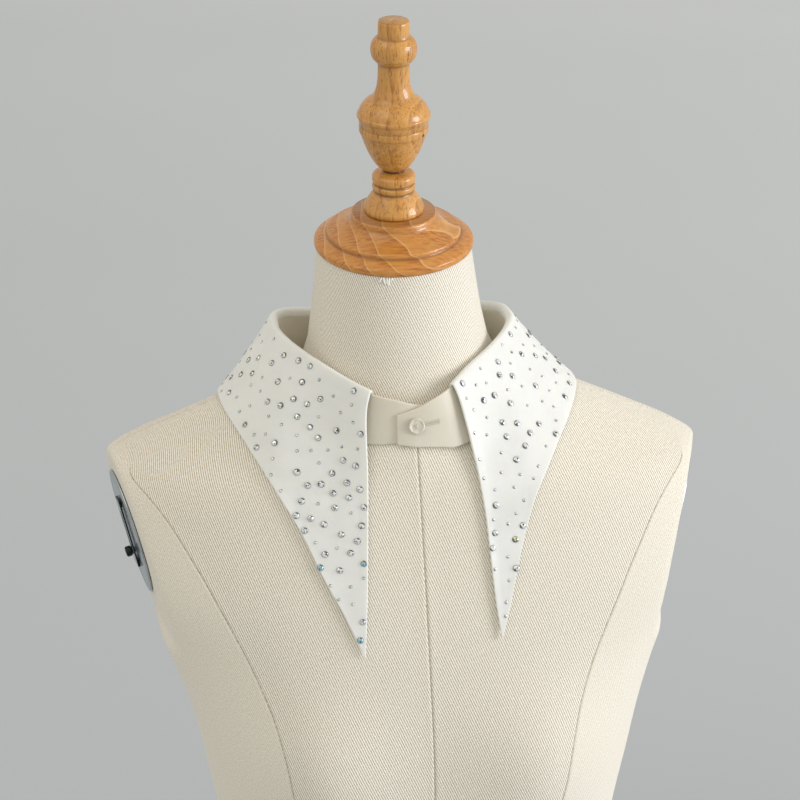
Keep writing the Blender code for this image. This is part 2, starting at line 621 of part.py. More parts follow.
def tree_of(obj):
    return BVHTree.FromPolygons([obj.matrix_world @ v.co for v in obj.data.vertices],
                                [tuple(p.vertices) for p in obj.data.polygons])


def buttonhole_outline(turns=16):
    """A round eye for the shank with a straight slit to the wearer's left, as (x, y) once round."""
    eye, half = SHANK_RADIUS + GAP, BUTTONHOLE_WIDTH / 2
    start = math.asin(half / eye)
    sweep = 2 * (math.pi - start)
    around = [start + sweep * i / turns for i in range(turns + 1)]
    outline = [(eye * math.cos(a), eye * math.sin(a)) for a in around]
    reach = [eye + (BUTTONHOLE_LENGTH - eye) * i / SLIT_STEPS for i in range(1, SLIT_STEPS + 1)]
    outline += [(x, -half) for x in reach] + [(x, half) for x in reversed(reach)]
    turn = Matrix.Rotation(BUTTONHOLE_TILT, 2)
    return [tuple(turn @ Vector(point)) for point in outline]


def make_button(stand, stand_tree, pearl):
    """The front button, on a thread shank from the under end through the over end's buttonhole."""
    outside = collar_to_world(BUTTON_ACROSS, -BUTTON_SEARCH, BUTTON_HEIGHT)
    inside = collar_to_world(BUTTON_ACROSS, 0.0, BUTTON_HEIGHT)
    hit, out, _, _ = stand_tree.ray_cast(outside, (inside - outside).normalized())
    up = (Vector((0, 0, 1)) - out * out.z).normalized()
    seat = Matrix((up.cross(out), up, out)).transposed().to_4x4()
    seat.translation = hit
    low = GAP - OVERLAP_LIFT
    shank = [(low / MM, SHANK_RADIUS / MM), (BUTTON_PROFILE[0][0], SHANK_RADIUS / MM)]
    turned("front_button", shank + BUTTON_PROFILE, 28, seat, pearl)

    points, faces = extruded(buttonhole_outline(), low, 2 * MM)
    for point in points:
        point.z -= point.x ** 2 / (2 * FRONT_RADIUS)
    cutter = add_mesh("buttonhole_cutter", points, faces, pearl)
    cutter.matrix_world = seat
    cut(stand, cutter)


def main():
    clear_scene()
    canvas = material("cotton canvas", (0.80, 0.74, 0.62), 0.9)
    wood = material("lacquered wood", (0.56, 0.30, 0.11), 0.3)
    cotton = material("white cotton", (0.90, 0.90, 0.88), 0.7)
    pearl = material("pearl button", (0.86, 0.84, 0.80), 0.25)
    steel = material("plated steel", (0.60, 0.63, 0.66), 0.3, 1.0)

    torso = make_torso(canvas)
    make_neck_cap_and_finial(wood)
    make_arm_plate(1, "left", steel)
    make_arm_bracket(make_arm_plate(-1, "right", steel), steel)
    torso_tree = tree_of(torso)
    stand = make_stand(torso_tree, cotton)
    stand_tree = tree_of(stand)
    make_leaf((torso_tree, stand_tree), cotton)
    make_button(stand, stand_tree, pearl)


main()
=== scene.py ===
# %% [markdown]
# # A detachable shirt collar on a dress form
#
# A detachable collar is two pieces of cotton shirting. The **stand** is a narrow band that buttons
# at the throat. The **leaf** is sewn to the stand's top edge, folds over it and falls to two long
# points, and it is set with flat-backed rhinestones. The collar is shown on a limbless dress form:
# a canvas-covered torso with a turned wooden cap and finial.
#
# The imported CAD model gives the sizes. This script keeps its forms within a few millimetres, and
# adds what CAD leaves out: weave, seams, soft creases, grain, stones and sewing. Lengths are in metres.

# %% Load the frame
import math
import random

import bmesh
import bpy
import numpy as np
from mathutils import Matrix, Vector
from mathutils.bvhtree import BVHTree


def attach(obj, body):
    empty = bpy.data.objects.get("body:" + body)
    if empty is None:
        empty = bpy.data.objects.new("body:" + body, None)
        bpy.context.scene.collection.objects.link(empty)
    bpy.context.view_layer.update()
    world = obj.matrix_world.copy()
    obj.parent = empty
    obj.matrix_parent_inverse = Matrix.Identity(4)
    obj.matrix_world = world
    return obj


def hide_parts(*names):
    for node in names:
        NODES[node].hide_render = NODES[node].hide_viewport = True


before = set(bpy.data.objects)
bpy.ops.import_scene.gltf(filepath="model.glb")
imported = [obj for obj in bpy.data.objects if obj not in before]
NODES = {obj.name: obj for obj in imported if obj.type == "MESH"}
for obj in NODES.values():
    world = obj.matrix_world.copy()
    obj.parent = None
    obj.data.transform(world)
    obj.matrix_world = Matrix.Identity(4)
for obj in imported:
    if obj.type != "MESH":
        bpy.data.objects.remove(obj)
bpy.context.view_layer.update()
MM = 0.001
random.seed(7)

# %% [markdown]
# ## Colours and shader nodes
# Colours are written as the sRGB hex values that a colour picker shows. A shader works in linear
# light, so one function turns them to linear. One more adds a shader node: each input is a plain
# value or the socket it is linked to, so that a material reads from top to bottom.


# %% Colours and nodes
def colour(code):
    """Linear RGBA of an sRGB hex colour."""
    parts = [int(code[i:i + 2], 16) / 255 for i in (1, 3, 5)]
    return (*[c / 12.92 if c <= 0.04045 else ((c + 0.055) / 1.055) ** 2.4 for c in parts], 1.0)


def add_node(tree, kind, inputs=None, stops=None, **settings):
    """A shader node with its settings, its inputs as values or sockets, and a ramp's stops."""
    node = tree.nodes.new("ShaderNode" + kind)
    for name, value in settings.items():
        setattr(node, name, value)
    for name, value in (inputs or {}).items():
        if isinstance(value, bpy.types.NodeSocket):
            tree.links.new(value, node.inputs[name])
        else:
            node.inputs[name].default_value = value
    if stops:
        elements = node.color_ramp.elements
        elements[0].position, elements[0].color = stops[0][0], colour(stops[0][1])
        elements[1].position, elements[1].color = stops[-1][0], colour(stops[-1][1])
        for place, code in stops[1:-1]:
            elements.new(place).color = colour(code)
    return node


def new_material(name, **sockets):
    """A material and its Principled BSDF, with plain values set on the shader's own sockets."""
    made = bpy.data.materials.new(name)
    made.use_nodes = True
    surface = made.node_tree.nodes["Principled BSDF"]
    for socket, value in sockets.items():
        surface.inputs[socket.replace("_", " ")].default_value = value
    return made, made.node_tree, surface


# %% [markdown]
# ## Meshes and smooth curves
# Every piece here is a list of points and a list of faces. Most are grids of points, so one function
# joins a grid into quads. A form is given by a few sections, as a pattern or a lathe drawing gives
# it, and a cubic through them fills in the rest. A monotone cubic never swings past its points,
# which keeps a table of widths from growing ripples.


# %% Meshes
def add_mesh(name, points, faces, materials, smooth=True, uvs=None, floats=None):
    """One object that rides on the body, with its UVs and point attributes."""
    mesh = bpy.data.meshes.new(name)
    mesh.from_pydata([tuple(p) for p in points], [], faces)
    for made in materials:
        mesh.materials.append(made)
    if uvs is not None:
        layer = mesh.uv_layers.new(name="cloth").data
        corners = np.empty(len(mesh.loops), int)
        mesh.loops.foreach_get("vertex_index", corners)
        layer.foreach_set("uv", np.asarray(uvs, float)[corners].ravel())
    for key, values in (floats or {}).items():
        mesh.attributes.new(key, "FLOAT", "POINT").data.foreach_set("value", np.asarray(values, float))
    shape = bmesh.new()
    shape.from_mesh(mesh)
    bmesh.ops.remove_doubles(shape, verts=shape.verts, dist=1e-7)
    bmesh.ops.recalc_face_normals(shape, faces=shape.faces)
    shape.to_mesh(mesh)
    shape.free()
    if smooth:
        mesh.shade_smooth()
    obj = bpy.data.objects.new(name, mesh)
    bpy.context.scene.collection.objects.link(obj)
    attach(obj, "root")
    return obj


def grid_faces(rows, columns, first=0, closed=False):
    """Quads of a grid of rows x columns points, joined round the columns when closed."""
    last = columns if closed else columns - 1
    return [(first + i * columns + j, first + i * columns + (j + 1) % columns,
             first + (i + 1) * columns + (j + 1) % columns, first + (i + 1) * columns + j)
            for i in range(rows - 1) for j in range(last)]


def capped_rings(rows, sides):
    """Faces of rings of points one above another, with a flat cap on the first and the last."""
    last = (rows - 1) * sides
    caps = [tuple(range(sides)), tuple(last + k for k in reversed(range(sides)))]
    return grid_faces(rows, sides, closed=True) + caps


def tree_of(obj):
    """A tree of an object's faces, for finding where a ray meets them."""
    return BVHTree.FromPolygons([v.co.copy() for v in obj.data.vertices],
                                [tuple(p.vertices) for p in obj.data.polygons])


# %% Smooth curves
def smooth_through(xs, ys, at):
    """Value at `at` of a monotone cubic through the points (xs, ys)."""
    xs, ys = np.asarray(xs, float), np.asarray(ys, float)
    step = np.diff(xs)
    rise = np.diff(ys) / step
    slope = np.concatenate([rise[:1], (rise[1:] + rise[:-1]) / 2, rise[-1:]])
    flat = rise[1:] * rise[:-1] <= 0
    slope[1:-1][flat] = 0.0
    limit = 3 * np.minimum(np.abs(np.r_[rise[:1], rise]), np.abs(np.r_[rise, rise[-1:]]))
    slope = np.clip(slope, -limit, limit)
    at = np.clip(at, xs[0], xs[-1])
    i = np.clip(np.searchsorted(xs, at) - 1, 0, len(xs) - 2)
    t = (at - xs[i]) / step[i]
    return ((1 + 2 * t) * (1 - t) ** 2 * ys[i] + t * (1 - t) ** 2 * step[i] * slope[i]
            + t * t * (3 - 2 * t) * ys[i + 1] + t * t * (t - 1) * step[i] * slope[i + 1])


def smooth_step(low, high, value):
    """0 below low, 1 above high, and a smooth rise between them."""
    t = min(max((value - low) / (high - low), 0.0), 1.0)
    return t * t * (3 - 2 * t)


def refined(points, at):
    """Smooth curves through `points` along the first axis, read at the fractional places `at`."""
    gap = np.linalg.norm(np.diff(points, axis=0), axis=-1, keepdims=True)
    slope = np.diff(points, axis=0) / gap
    tangent = np.concatenate([slope[:1], slope])
    tangent[1:-1] = (slope[:-1] * gap[1:] + slope[1:] * gap[:-1]) / (gap[1:] + gap[:-1])
    at = np.asarray(at, float)
    i = np.minimum(at.astype(int), len(points) - 2)
    t = (at - i)[:, None, None]
    return ((1 + 2 * t) * (1 - t) ** 2 * points[i] + t * (1 - t) ** 2 * gap[i] * tangent[i]
            + t * t * (3 - 2 * t) * points[i + 1] + t * t * (t - 1) * gap[i] * tangent[i + 1])


print("halfway from 0 to 1:", smooth_step(0, 1, 0.5))

# %% [markdown]
# ## Camera
# A long lens looks down on the collar from a little to the wearer's right. A long lens flattens the
# form, as it does in most pictures of clothes. The camera is placed by the point that it looks at
# and by the place of that point in the frame, which is easier to set than a camera's own position.

# %% Camera
FRAME_PX, FOCAL_PX, SENSOR_MM = 800, 1957.0, 36.0
CAMERA_TURN, CAMERA_RISE, CAMERA_ROLL = math.radians(-5.0), math.radians(20.9), math.radians(0.8)
AIM, AIM_PX, AIM_DEPTH = Vector((0.0, 0.0, 0.640)), (393.7, 242.9), 1.2277


def make_camera():
    back = Vector((math.sin(CAMERA_TURN) * math.cos(CAMERA_RISE),
                   -math.cos(CAMERA_TURN) * math.cos(CAMERA_RISE), math.sin(CAMERA_RISE)))
    level = Vector((0, 0, 1)).cross(back).normalized()
    upright = back.cross(level)
    right = level * math.cos(CAMERA_ROLL) - upright * math.sin(CAMERA_ROLL)
    up = level * math.sin(CAMERA_ROLL) + upright * math.cos(CAMERA_ROLL)
    u = (AIM_PX[0] - FRAME_PX / 2) / FOCAL_PX * AIM_DEPTH
    v = -(AIM_PX[1] - FRAME_PX / 2) / FOCAL_PX * AIM_DEPTH
    data = bpy.data.cameras.new("camera")
    data.sensor_width = SENSOR_MM
    data.lens = FOCAL_PX / FRAME_PX * SENSOR_MM
    data.clip_end = 100
    camera = bpy.data.objects.new("camera", data)
    placed = Matrix((right, up, back)).transposed().to_4x4()
    placed.translation = AIM + back * AIM_DEPTH - right * u - up * v
    camera.matrix_world = placed
    bpy.context.scene.collection.objects.link(camera)
    bpy.context.scene.camera = camera
    print("camera at", tuple(round(c, 3) for c in placed.translation))


make_camera()

# %% [markdown]
# ## Floor and light
# A large soft light stands low at the wearer's left, like a window. A weaker, warmer one higher up on
# the other side and a pale room fill the shadows. The floor is grey paint with a slight mottle. It is
# also painted paler away from the camera and towards the light: painted light and shade.

# %% Floor
FLOOR_GREYS = "#B9C0C6", "#DBE1E6"
FLOOR_REACH = 14.0                  # from the form to the floor's edges


def make_floor():
    paint, tree, surface = new_material("floor paint", Roughness=0.9)
    place = add_node(tree, "TexCoord").outputs["Object"]
    mottle = add_node(tree, "TexNoise", {"Vector": place, "Scale": 0.5, "Detail": 2.0}).outputs["Fac"]
    apart = add_node(tree, "SeparateXYZ", {"Vector": place}).outputs
    # painted light: paler towards the light, at +X, and away from the camera, at +Y
    far = add_node(tree, "Math", {0: apart["X"], 1: 0.9, 2: apart["Y"]},
                   operation="MULTIPLY_ADD").outputs[0]
    mottle_and_painted_light = add_node(tree, "Math", {0: mottle, 1: 2.0, 2: far}, operation="MULTIPLY_ADD").outputs[0]
    share = add_node(tree, "MapRange", {"Value": mottle_and_painted_light, "From Min": 0.2, "From Max": 6.5}).outputs[0]
    tint = add_node(tree, "ValToRGB", {"Fac": share},
                    stops=[(0.0, FLOOR_GREYS[0]), (1.0, FLOOR_GREYS[1])])
    tree.links.new(tint.outputs["Color"], surface.inputs["Base Color"])
    mesh = bpy.data.meshes.new("floor")
    corners = [(x * FLOOR_REACH, y * FLOOR_REACH, 0) for x, y in ((-1, -1), (1, -1), (1, 1), (-1, 1))]
    mesh.from_pydata(corners, [], [(0, 1, 2, 3)])
    mesh.materials.append(paint)
    floor = bpy.data.objects.new("floor", mesh)
    bpy.context.scene.collection.objects.link(floor)
    print("floor", 2 * FLOOR_REACH, "m wide")


make_floor()

# %% Lights and room
# Each light: name, place, diameter, power, tint
LIGHTS = [
    ("key", Vector((6.9, -2.6, 1.5)), 3.8, 385.0, "#F9FAFF"),
    ("fill", Vector((-3.2, -2.6, 5.4)), 4.6, 74.0, "#FFF8EC"),
]
LIGHT_AIM = Vector((0, 0, 0.5))
ROOM_TINT, ROOM_LIGHT = "#FAF5EB", 0.69


def make_light(name, place, size, power, tint):
    data = bpy.data.lights.new(name, "AREA")
    data.shape, data.size, data.energy = "DISK", size, power
    data.color = colour(tint)[:3]
    lamp = bpy.data.objects.new(name, data)
    lamp.location = place
    lamp.rotation_euler = (LIGHT_AIM - place).to_track_quat("-Z", "Y").to_euler()
    bpy.context.scene.collection.objects.link(lamp)


def make_room():
    room = bpy.data.worlds.new("room")
    room.use_nodes = True
    sky = room.node_tree.nodes["Background"]
    sky.inputs["Color"].default_value = colour(ROOM_TINT)
    sky.inputs["Strength"].default_value = ROOM_LIGHT
    bpy.context.scene.world = room
    bpy.context.scene.view_settings.view_transform = "Standard"


for row in LIGHTS:
    make_light(*row)
make_room()
print("lights", [row[0] for row in LIGHTS], "room", ROOM_LIGHT)

# %% [markdown]
# ## The torso's form
# A dress form's torso is padded out to a body's shape and cut off flat at neck, arms and hip. It is
# given by half widths and depths at some levels below the neck, and each level is a superellipse:
# a power of 2 is an ellipse, and a higher one is squarer. The bust is added as two soft swellings,
# and the arm openings are cut by a leaning plane.

# %% The torso's sizes
NECK_TOP = 640 * MM
NECK_TILT = math.radians(9.0)
SHOULDER_DROP = 6 * MM
DROOP_START, DROOP_FULL, DROOP_FADE, DROOP_END = 70 * MM, 130 * MM, 220 * MM, 420 * MM
ARM_PLANE_X, ARM_PLANE_Y, ARM_PLANE_Z = 190 * MM, 2 * MM, NECK_TOP - 146 * MM
ARM_PLANE_LEAN, ARM_PLANE_TURN = math.radians(10.8), math.radians(14.0)
ARM_PLANE_BLEND = 4 * MM
ARMHOLE_FLOOR, ARMHOLE_FLARE = NECK_TOP - 248 * MM, 0.5
BUST_X, BUST_Z, BUST_OUT = 80 * MM, NECK_TOP - 322 * MM, 14 * MM
BUST_WIDE, BUST_HIGH = 46 * MM, 52 * MM
TORSO_LEVELS = np.array([
    # drop below the neck's end, half_width, front, back, power, shift, tilt (lengths in mm)
    (0, 48.5, 48.5, 48.5, 2.0, 0.0, 1.0),
    (25, 51.5, 50.5, 52.5, 2.0, 0.5, 0.7),
    (48, 55.0, 53.0, 56.0, 2.0, 1.0, 0.35),
    (66, 59.5, 55.5, 59.5, 2.0, 2.0, 0.1),
    (77, 67.0, 58.5, 63.0, 1.9, 3.0, 0.0),
    (86, 85.0, 62.5, 66.5, 1.7, 3.5, 0.0),
    (95, 109.0, 67.5, 71.0, 1.55, 4.0, 0.0),
    (105, 134.0, 71.5, 76.5, 1.5, 4.25, 0.0),
    (115, 157.0, 76.0, 82.5, 1.55, 4.5, 0.0),
    (125, 178.0, 79.0, 87.0, 1.7, 4.75, 0.0),
    (137, 195.0, 82.5, 90.5, 1.95, 5.05, 0.0),
    (165, 203.0, 90.0, 97.0, 2.2, 5.75, 0.0),
    (205, 197.0, 99.5, 101.0, 2.4, 6.75, 0.0),
    (250, 171.5, 107.0, 101.0, 2.5, 7.875, 0.0),
    (300, 154.0, 111.0, 96.0, 2.5, 9.3, 0.0),
    (350, 144.5, 108.0, 88.0, 2.4, 9.8, 0.0),
    (405, 136.0, 98.0, 79.0, 2.3, 9.8, 0.0),
    (450, 131.0, 93.0, 77.0, 2.3, 9.8, 0.0),
    (510, 143.0, 98.0, 88.0, 2.3, 9.8, 0.0),
    (570, 158.0, 104.0, 103.0, 2.3, 9.8, 0.0),
    (630, 165.0, 106.0, 108.0, 2.3, 9.8, 0.0),
    (637, 164.0, 105.0, 107.0, 2.3, 9.8, 0.0),
    (640, 161.0, 102.0, 104.0, 2.3, 9.8, 0.0),
]).T
RING_SAMPLES = 1440
LEAST_LIMIT = 50 * MM               # the arm plane never cuts nearer to the middle than this


# %% One level of the torso
def torso_ring(drop_mm):
    """Dense points of the torso's outside at one level, once round from the middle of the back."""
    half_width, front, back, power, shift, tilt = [
        float(smooth_through(TORSO_LEVELS[0], column, drop_mm)) for column in TORSO_LEVELS[1:]]
    angle = np.linspace(math.pi / 2, math.pi / 2 + 2 * math.pi, RING_SAMPLES + 1)
    across, along = np.cos(angle), np.sin(angle)
    x = half_width * MM * np.sign(across) * np.abs(across) ** (2 / power)
    depth = np.where(along > 0, back, front) * MM
    y = depth * np.sign(along) * np.abs(along) ** (2 / power)
    z = NECK_TOP - drop_mm * MM
    bust = np.exp(-((np.abs(x) - BUST_X) / BUST_WIDE) ** 2 - ((z - BUST_Z) / BUST_HIGH) ** 2)
    y = np.where(y < 0, y - BUST_OUT * bust * np.minimum(-y / (front * MM), 1.0), y)
    if drop_mm > 0.1:
        limit = np.maximum(ARM_PLANE_X - math.tan(ARM_PLANE_LEAN) * (ARM_PLANE_Z - z)
                           + math.tan(ARM_PLANE_TURN) * (y - ARM_PLANE_Y)
                           + ARMHOLE_FLARE * max(ARMHOLE_FLOOR - z, 0.0), LEAST_LIMIT)
        near = np.maximum(ARM_PLANE_BLEND - np.abs(np.abs(x) - limit), 0.0) / ARM_PLANE_BLEND
        x = np.sign(x) * (np.minimum(np.abs(x), limit) - near * near * ARM_PLANE_BLEND / 4)
    drop = drop_mm * MM
    droop = (min(max((drop - DROOP_START) / (DROOP_FULL - DROOP_START), 0.0), 1.0)
             * min(max((DROOP_END - drop) / (DROOP_END - DROOP_FADE), 0.0), 1.0))
    height = z + y * math.tan(NECK_TILT * tilt) - SHOULDER_DROP * droop * x / (2 * ARM_PLANE_X)
    return np.stack([x + shift * MM, y, height], axis=1), shift * MM


print("torso at the bust:", np.ptp(torso_ring((NECK_TOP - BUST_Z) / MM)[0], axis=0).round(3)[:2], "m")

# %% [markdown]
# ## The canvas cover
# The form is covered in undyed cotton twill, cut in eight panels and pulled tight over padding.
# Seams pull the cloth in, so each is a fine groove with the cloth slightly raised beside it. Grooves
# this small could be painted in a bump map. They are modelled, because they also catch light at the
# form's outline. The mesh has columns close together at each seam and far apart between them.

# %% Where the seams run
# The princess seam runs from the armhole over the bust: distance from the middle at each height.
PRINCESS_SEAM = np.array([
    (0, 99), (60, 96), (130, 83), (190, 77), (240, 78), (280, 83), (309, 87.5), (330, 90.5), (346, 93.5),
    (362, 97.3), (379, 103), (397, 110), (414, 117.5), (433, 126.5), (449, 134.5), (462, 142), (476, 150.5),
    (486, 158), (495, 167), (503, 176), (640, 190),
]).T
PRINCESS_TOP = 503 * MM             # where the seam runs into the armhole
FRONT_SEAM_DROP, FRONT_SEAM_ASIDE = 92.0, 2 * MM    # its start under the collar in mm, its place
PRINCESS_FADE, SIDE_FADE, FRONT_FADE_MM = 4 * MM, 12 * MM, 2    # how softly seams and panels end
WIDEST_SEAM = 0.98                  # share of the half width that a princess seam stays within
COVER_DROPS = sorted({*np.arange(0, 70, 3.0), *np.arange(70, 142, 1.2), *np.arange(142, 637, 3.2),
                      637.0, 638.6, 640.0})
PANEL_COLUMNS = 22                  # between two seams
SEAM_STEPS = np.array([-3.4, -2.2, -1.3, -0.7, -0.35, 0, 0.35, 0.7, 1.3, 2.2, 3.4]) * MM
MIDDLE_STEP = 5                     # of the seam steps, the one on the seam itself


def seam_lengths(points, shift, height, run):
    """Where the eight seams cross a ring, as lengths along it from the middle of the back."""
    out = np.abs(points[:, 0] - shift)
    princess = min(float(smooth_through(*PRINCESS_SEAM, height / MM)) * MM, WIDEST_SEAM * out.max())
    quarter = RING_SAMPLES // 4
    found = [0.0]
    for part in range(4):
        piece = slice(part * quarter, (part + 1) * quarter + 1)
        order = out[piece], run[piece]
        rising = part % 2 == 0
        values = [side if rising else side[::-1] for side in order]
        found.append(float(np.interp(princess, *values)))
        found.append(float(run[(part + 1) * quarter]))
    found[4] += FRONT_SEAM_ASIDE
    return found


def seam_shown(k, height, drop):
    """How far seam k shows at a level. Princess seams end at the armhole, the front and side seams
    under the collar, and the one at the middle of the back runs all the way up."""
    if k % 2 == 1:
        return 1.0 - smooth_step(PRINCESS_TOP, PRINCESS_TOP + PRINCESS_FADE, height)
    if k > 0:
        return smooth_step(FRONT_SEAM_DROP - FRONT_FADE_MM, FRONT_SEAM_DROP, drop)
    return 1.0


def cover_columns(marks, end, height, drop):
    """Lengths round a ring where the cover has points, how far each is from its seam, and how far
    that seam shows. Points between two seams count as far away."""
    places, distance, strength = [], [], []
    for k, (mark, after) in enumerate(zip(marks[:-1], marks[1:])):
        shown = seam_shown(k, height, drop)
        steps = SEAM_STEPS[MIDDLE_STEP:] if k == 0 else SEAM_STEPS
        between = np.linspace(mark + SEAM_STEPS[-1], after + SEAM_STEPS[0], PANEL_COLUMNS + 2)[1:-1]
        places += [*(mark + steps), *between]
        distance += [*steps, *[1.0] * PANEL_COLUMNS]
        strength += [shown] * (len(steps) + PANEL_COLUMNS)
    steps = SEAM_STEPS[:MIDDLE_STEP + 1]
    places += [*(end + steps)]
    distance += [*steps]
    strength += [1.0] * len(steps)
    return np.array(places), np.abs(distance), strength


def cover_row(drop):
    """One ring of the cover: points, places on the cloth, (distance, strength) of seams, side panels."""
    points, shift = torso_ring(drop)
    run = np.r_[0.0, np.cumsum(np.linalg.norm(np.diff(points, axis=0), axis=1))]
    height = NECK_TOP - drop * MM
    marks = seam_lengths(points, shift, height, run)
    places, distance, strength = cover_columns(marks, run[-1], height, drop)
    row = np.stack([np.interp(places, run, points[:, a]) for a in range(3)], axis=1)
    cloth = np.stack([places - marks[4], np.full(len(places), height)], axis=1)
    is_side = ((places > marks[1]) & (places < marks[3])) | ((places > marks[5]) & (places < marks[7]))
    side = is_side * (1.0 - smooth_step(PRINCESS_TOP, PRINCESS_TOP + SIDE_FADE, height))
    return row, cloth, np.stack([distance, strength], axis=1), side


# %% The cover's mesh
GROOVE_DEPTH, GROOVE_WIDTH = 0.55 * MM, 0.55 * MM
PUFF_HEIGHT, PUFF_PLACE, PUFF_WIDTH = 0.16 * MM, 2.0 * MM, 1.2 * MM
SEAM_LINE_WIDTH = 0.45 * MM         # of the dark line, partly stitching and partly painted shade in the groove
COVER_EDGE = math.radians(50)       # a fold sharper than this is a hard edge


def pulled(distance):
    """How far the cloth lies out from the form at this distance from a seam."""
    return (-GROOVE_DEPTH * np.exp(-(distance / GROOVE_WIDTH) ** 2)
            + PUFF_HEIGHT * np.exp(-((distance - PUFF_PLACE) / PUFF_WIDTH) ** 2))


def make_cover(canvas):
    grid, uvs, seams, sides = [np.array(rows) for rows in zip(*map(cover_row, COVER_DROPS))]
    normal = np.cross(np.gradient(grid, axis=1), np.gradient(grid, axis=0))
    normal /= np.linalg.norm(normal, axis=2, keepdims=True)
    normal *= np.sign((normal[..., :2] * grid[..., :2]).sum())
    grid = grid + normal * (pulled(seams[..., 0]) * seams[..., 1])[..., None]
    line = np.exp(-(seams[..., 0] / SEAM_LINE_WIDTH) ** 2) * seams[..., 1]
    count = grid.shape[1]
    faces = grid_faces(len(grid), count)
    points = grid.reshape(-1, 3)
    first, last = len(points), (len(grid) - 1) * count
    faces += [(j + 1, j, first) for j in range(count - 1)]
    faces += [(last + j, last + j + 1, first + 1) for j in range(count - 1)]
    points = np.vstack([points, grid[0].mean(axis=0), grid[-1].mean(axis=0)])
    uvs = np.vstack([uvs.reshape(-1, 2), (0, NECK_TOP), (0, 0)])
    cover = add_mesh("canvas_cover", points, faces, [canvas], uvs=uvs,
                     floats={"seam": np.r_[line.ravel(), 0, 0], "side": np.r_[sides.ravel(), 0, 0]})
    cover.data.set_sharp_from_angle(angle=COVER_EDGE)
    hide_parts("form_torso")
    print("canvas cover:", len(cover.data.polygons), "faces")


# %% [markdown]
# ## Cotton twill
# Twill is woven so that its ribs climb in steep diagonals, and they are the most visible thing about
# the form. Real yarns are about 0.5 mm, too fine to show from here, so a rib is drawn 1.45 mm wide
# and stands for a bundle of them. It leans 22 degrees from upright. The ribs are drawn in millimetres
# of cloth, measured round the body from the middle of the front, so their width is the same
# everywhere on the cloth. The side panels show their ribs less, as cloth cut on another grain does.

# %% Undyed cotton twill
# Cotton has no gloss: roughness near 0.9, and a weak sheen from loose fibre.
TWILL_PITCH, TWILL_LEAN = 1.45, math.radians(-22)   # millimetres across a rib
WAVE_PERIOD = 2 * math.pi / 20                      # of a Wave Texture at scale 1


def make_canvas():
    canvas, tree, surface = new_material("undyed cotton twill", Roughness=0.88, Sheen_Weight=0.2,
                                         Sheen_Roughness=0.5, Specular_IOR_Level=0.25)
    cloth = add_node(tree, "UVMap", uv_map="cloth").outputs["UV"]
    turned = add_node(tree, "Mapping", {"Vector": cloth, "Rotation": (0, 0, TWILL_LEAN),
                                        "Scale": (1 / MM, 1 / MM, 1)}, vector_type="POINT").outputs[0]
    ribs = add_node(tree, "TexWave", {"Vector": turned, "Scale": WAVE_PERIOD / TWILL_PITCH,
                                      "Distortion": 0.7, "Detail": 2.0, "Detail Scale": 1.6},
                    bands_direction="X").outputs["Fac"]
    yarns = add_node(tree, "TexWave", {"Vector": turned, "Scale": WAVE_PERIOD / 1.1, "Distortion": 1.5,
                                       "Detail Scale": 2.0}, bands_direction="Y").outputs["Fac"]
    slubs = add_node(tree, "TexNoise", {"Vector": turned, "Scale": 0.9, "Detail": 3.0}).outputs["Fac"]
    is_side = add_node(tree, "Attribute", attribute_name="side").outputs["Fac"]
    depth = add_node(tree, "MapRange", {"Value": is_side, "To Min": 1.0, "To Max": 0.3}).outputs[0]
    raised = add_node(tree, "Math", {0: ribs, 1: 0.5}, operation="SUBTRACT").outputs[0]
    shown = add_node(tree, "Math", {0: raised, 1: depth, 2: slubs}, operation="MULTIPLY_ADD").outputs[0]
    weave = add_node(tree, "MapRange", {"Value": shown, "From Min": -0.05, "From Max": 1.05}).outputs[0]
    shade = add_node(tree, "ValToRGB", {"Fac": weave},
                     stops=[(0.0, "#B4A88F"), (0.3, "#DCD4C1"), (0.6, "#F1ECE0"), (1.0, "#FEFCF6")])
    # The seam's dark line is partly stitching and partly painted shade in its groove; noise breaks it up.
    seam = add_node(tree, "Attribute", attribute_name="seam").outputs["Fac"]
    broken = add_node(tree, "TexNoise", {"Vector": cloth, "Scale": 520.0, "Detail": 1.0}).outputs["Fac"]
    gap = add_node(tree, "MapRange", {"Value": broken, "From Min": 0.35, "From Max": 0.65,
                                      "To Min": 0.15, "To Max": 0.75}).outputs[0]
    dark = add_node(tree, "Math", {0: seam, 1: gap}, operation="MULTIPLY", use_clamp=True).outputs[0]
    tint = add_node(tree, "Mix", {0: dark, 6: shade.outputs["Color"], 7: colour("#8A7B63")},
                    data_type="RGBA").outputs[2]
    tree.links.new(tint, surface.inputs["Base Color"])
    height = add_node(tree, "Math", {0: yarns, 1: 0.18, 2: shown}, operation="MULTIPLY_ADD").outputs[0]
    bump = add_node(tree, "Bump", {"Height": height, "Strength": 0.5, "Distance": 0.22 * MM})
    tree.links.new(bump.outputs["Normal"], surface.inputs["Normal"])
    return canvas


make_cover(make_canvas())
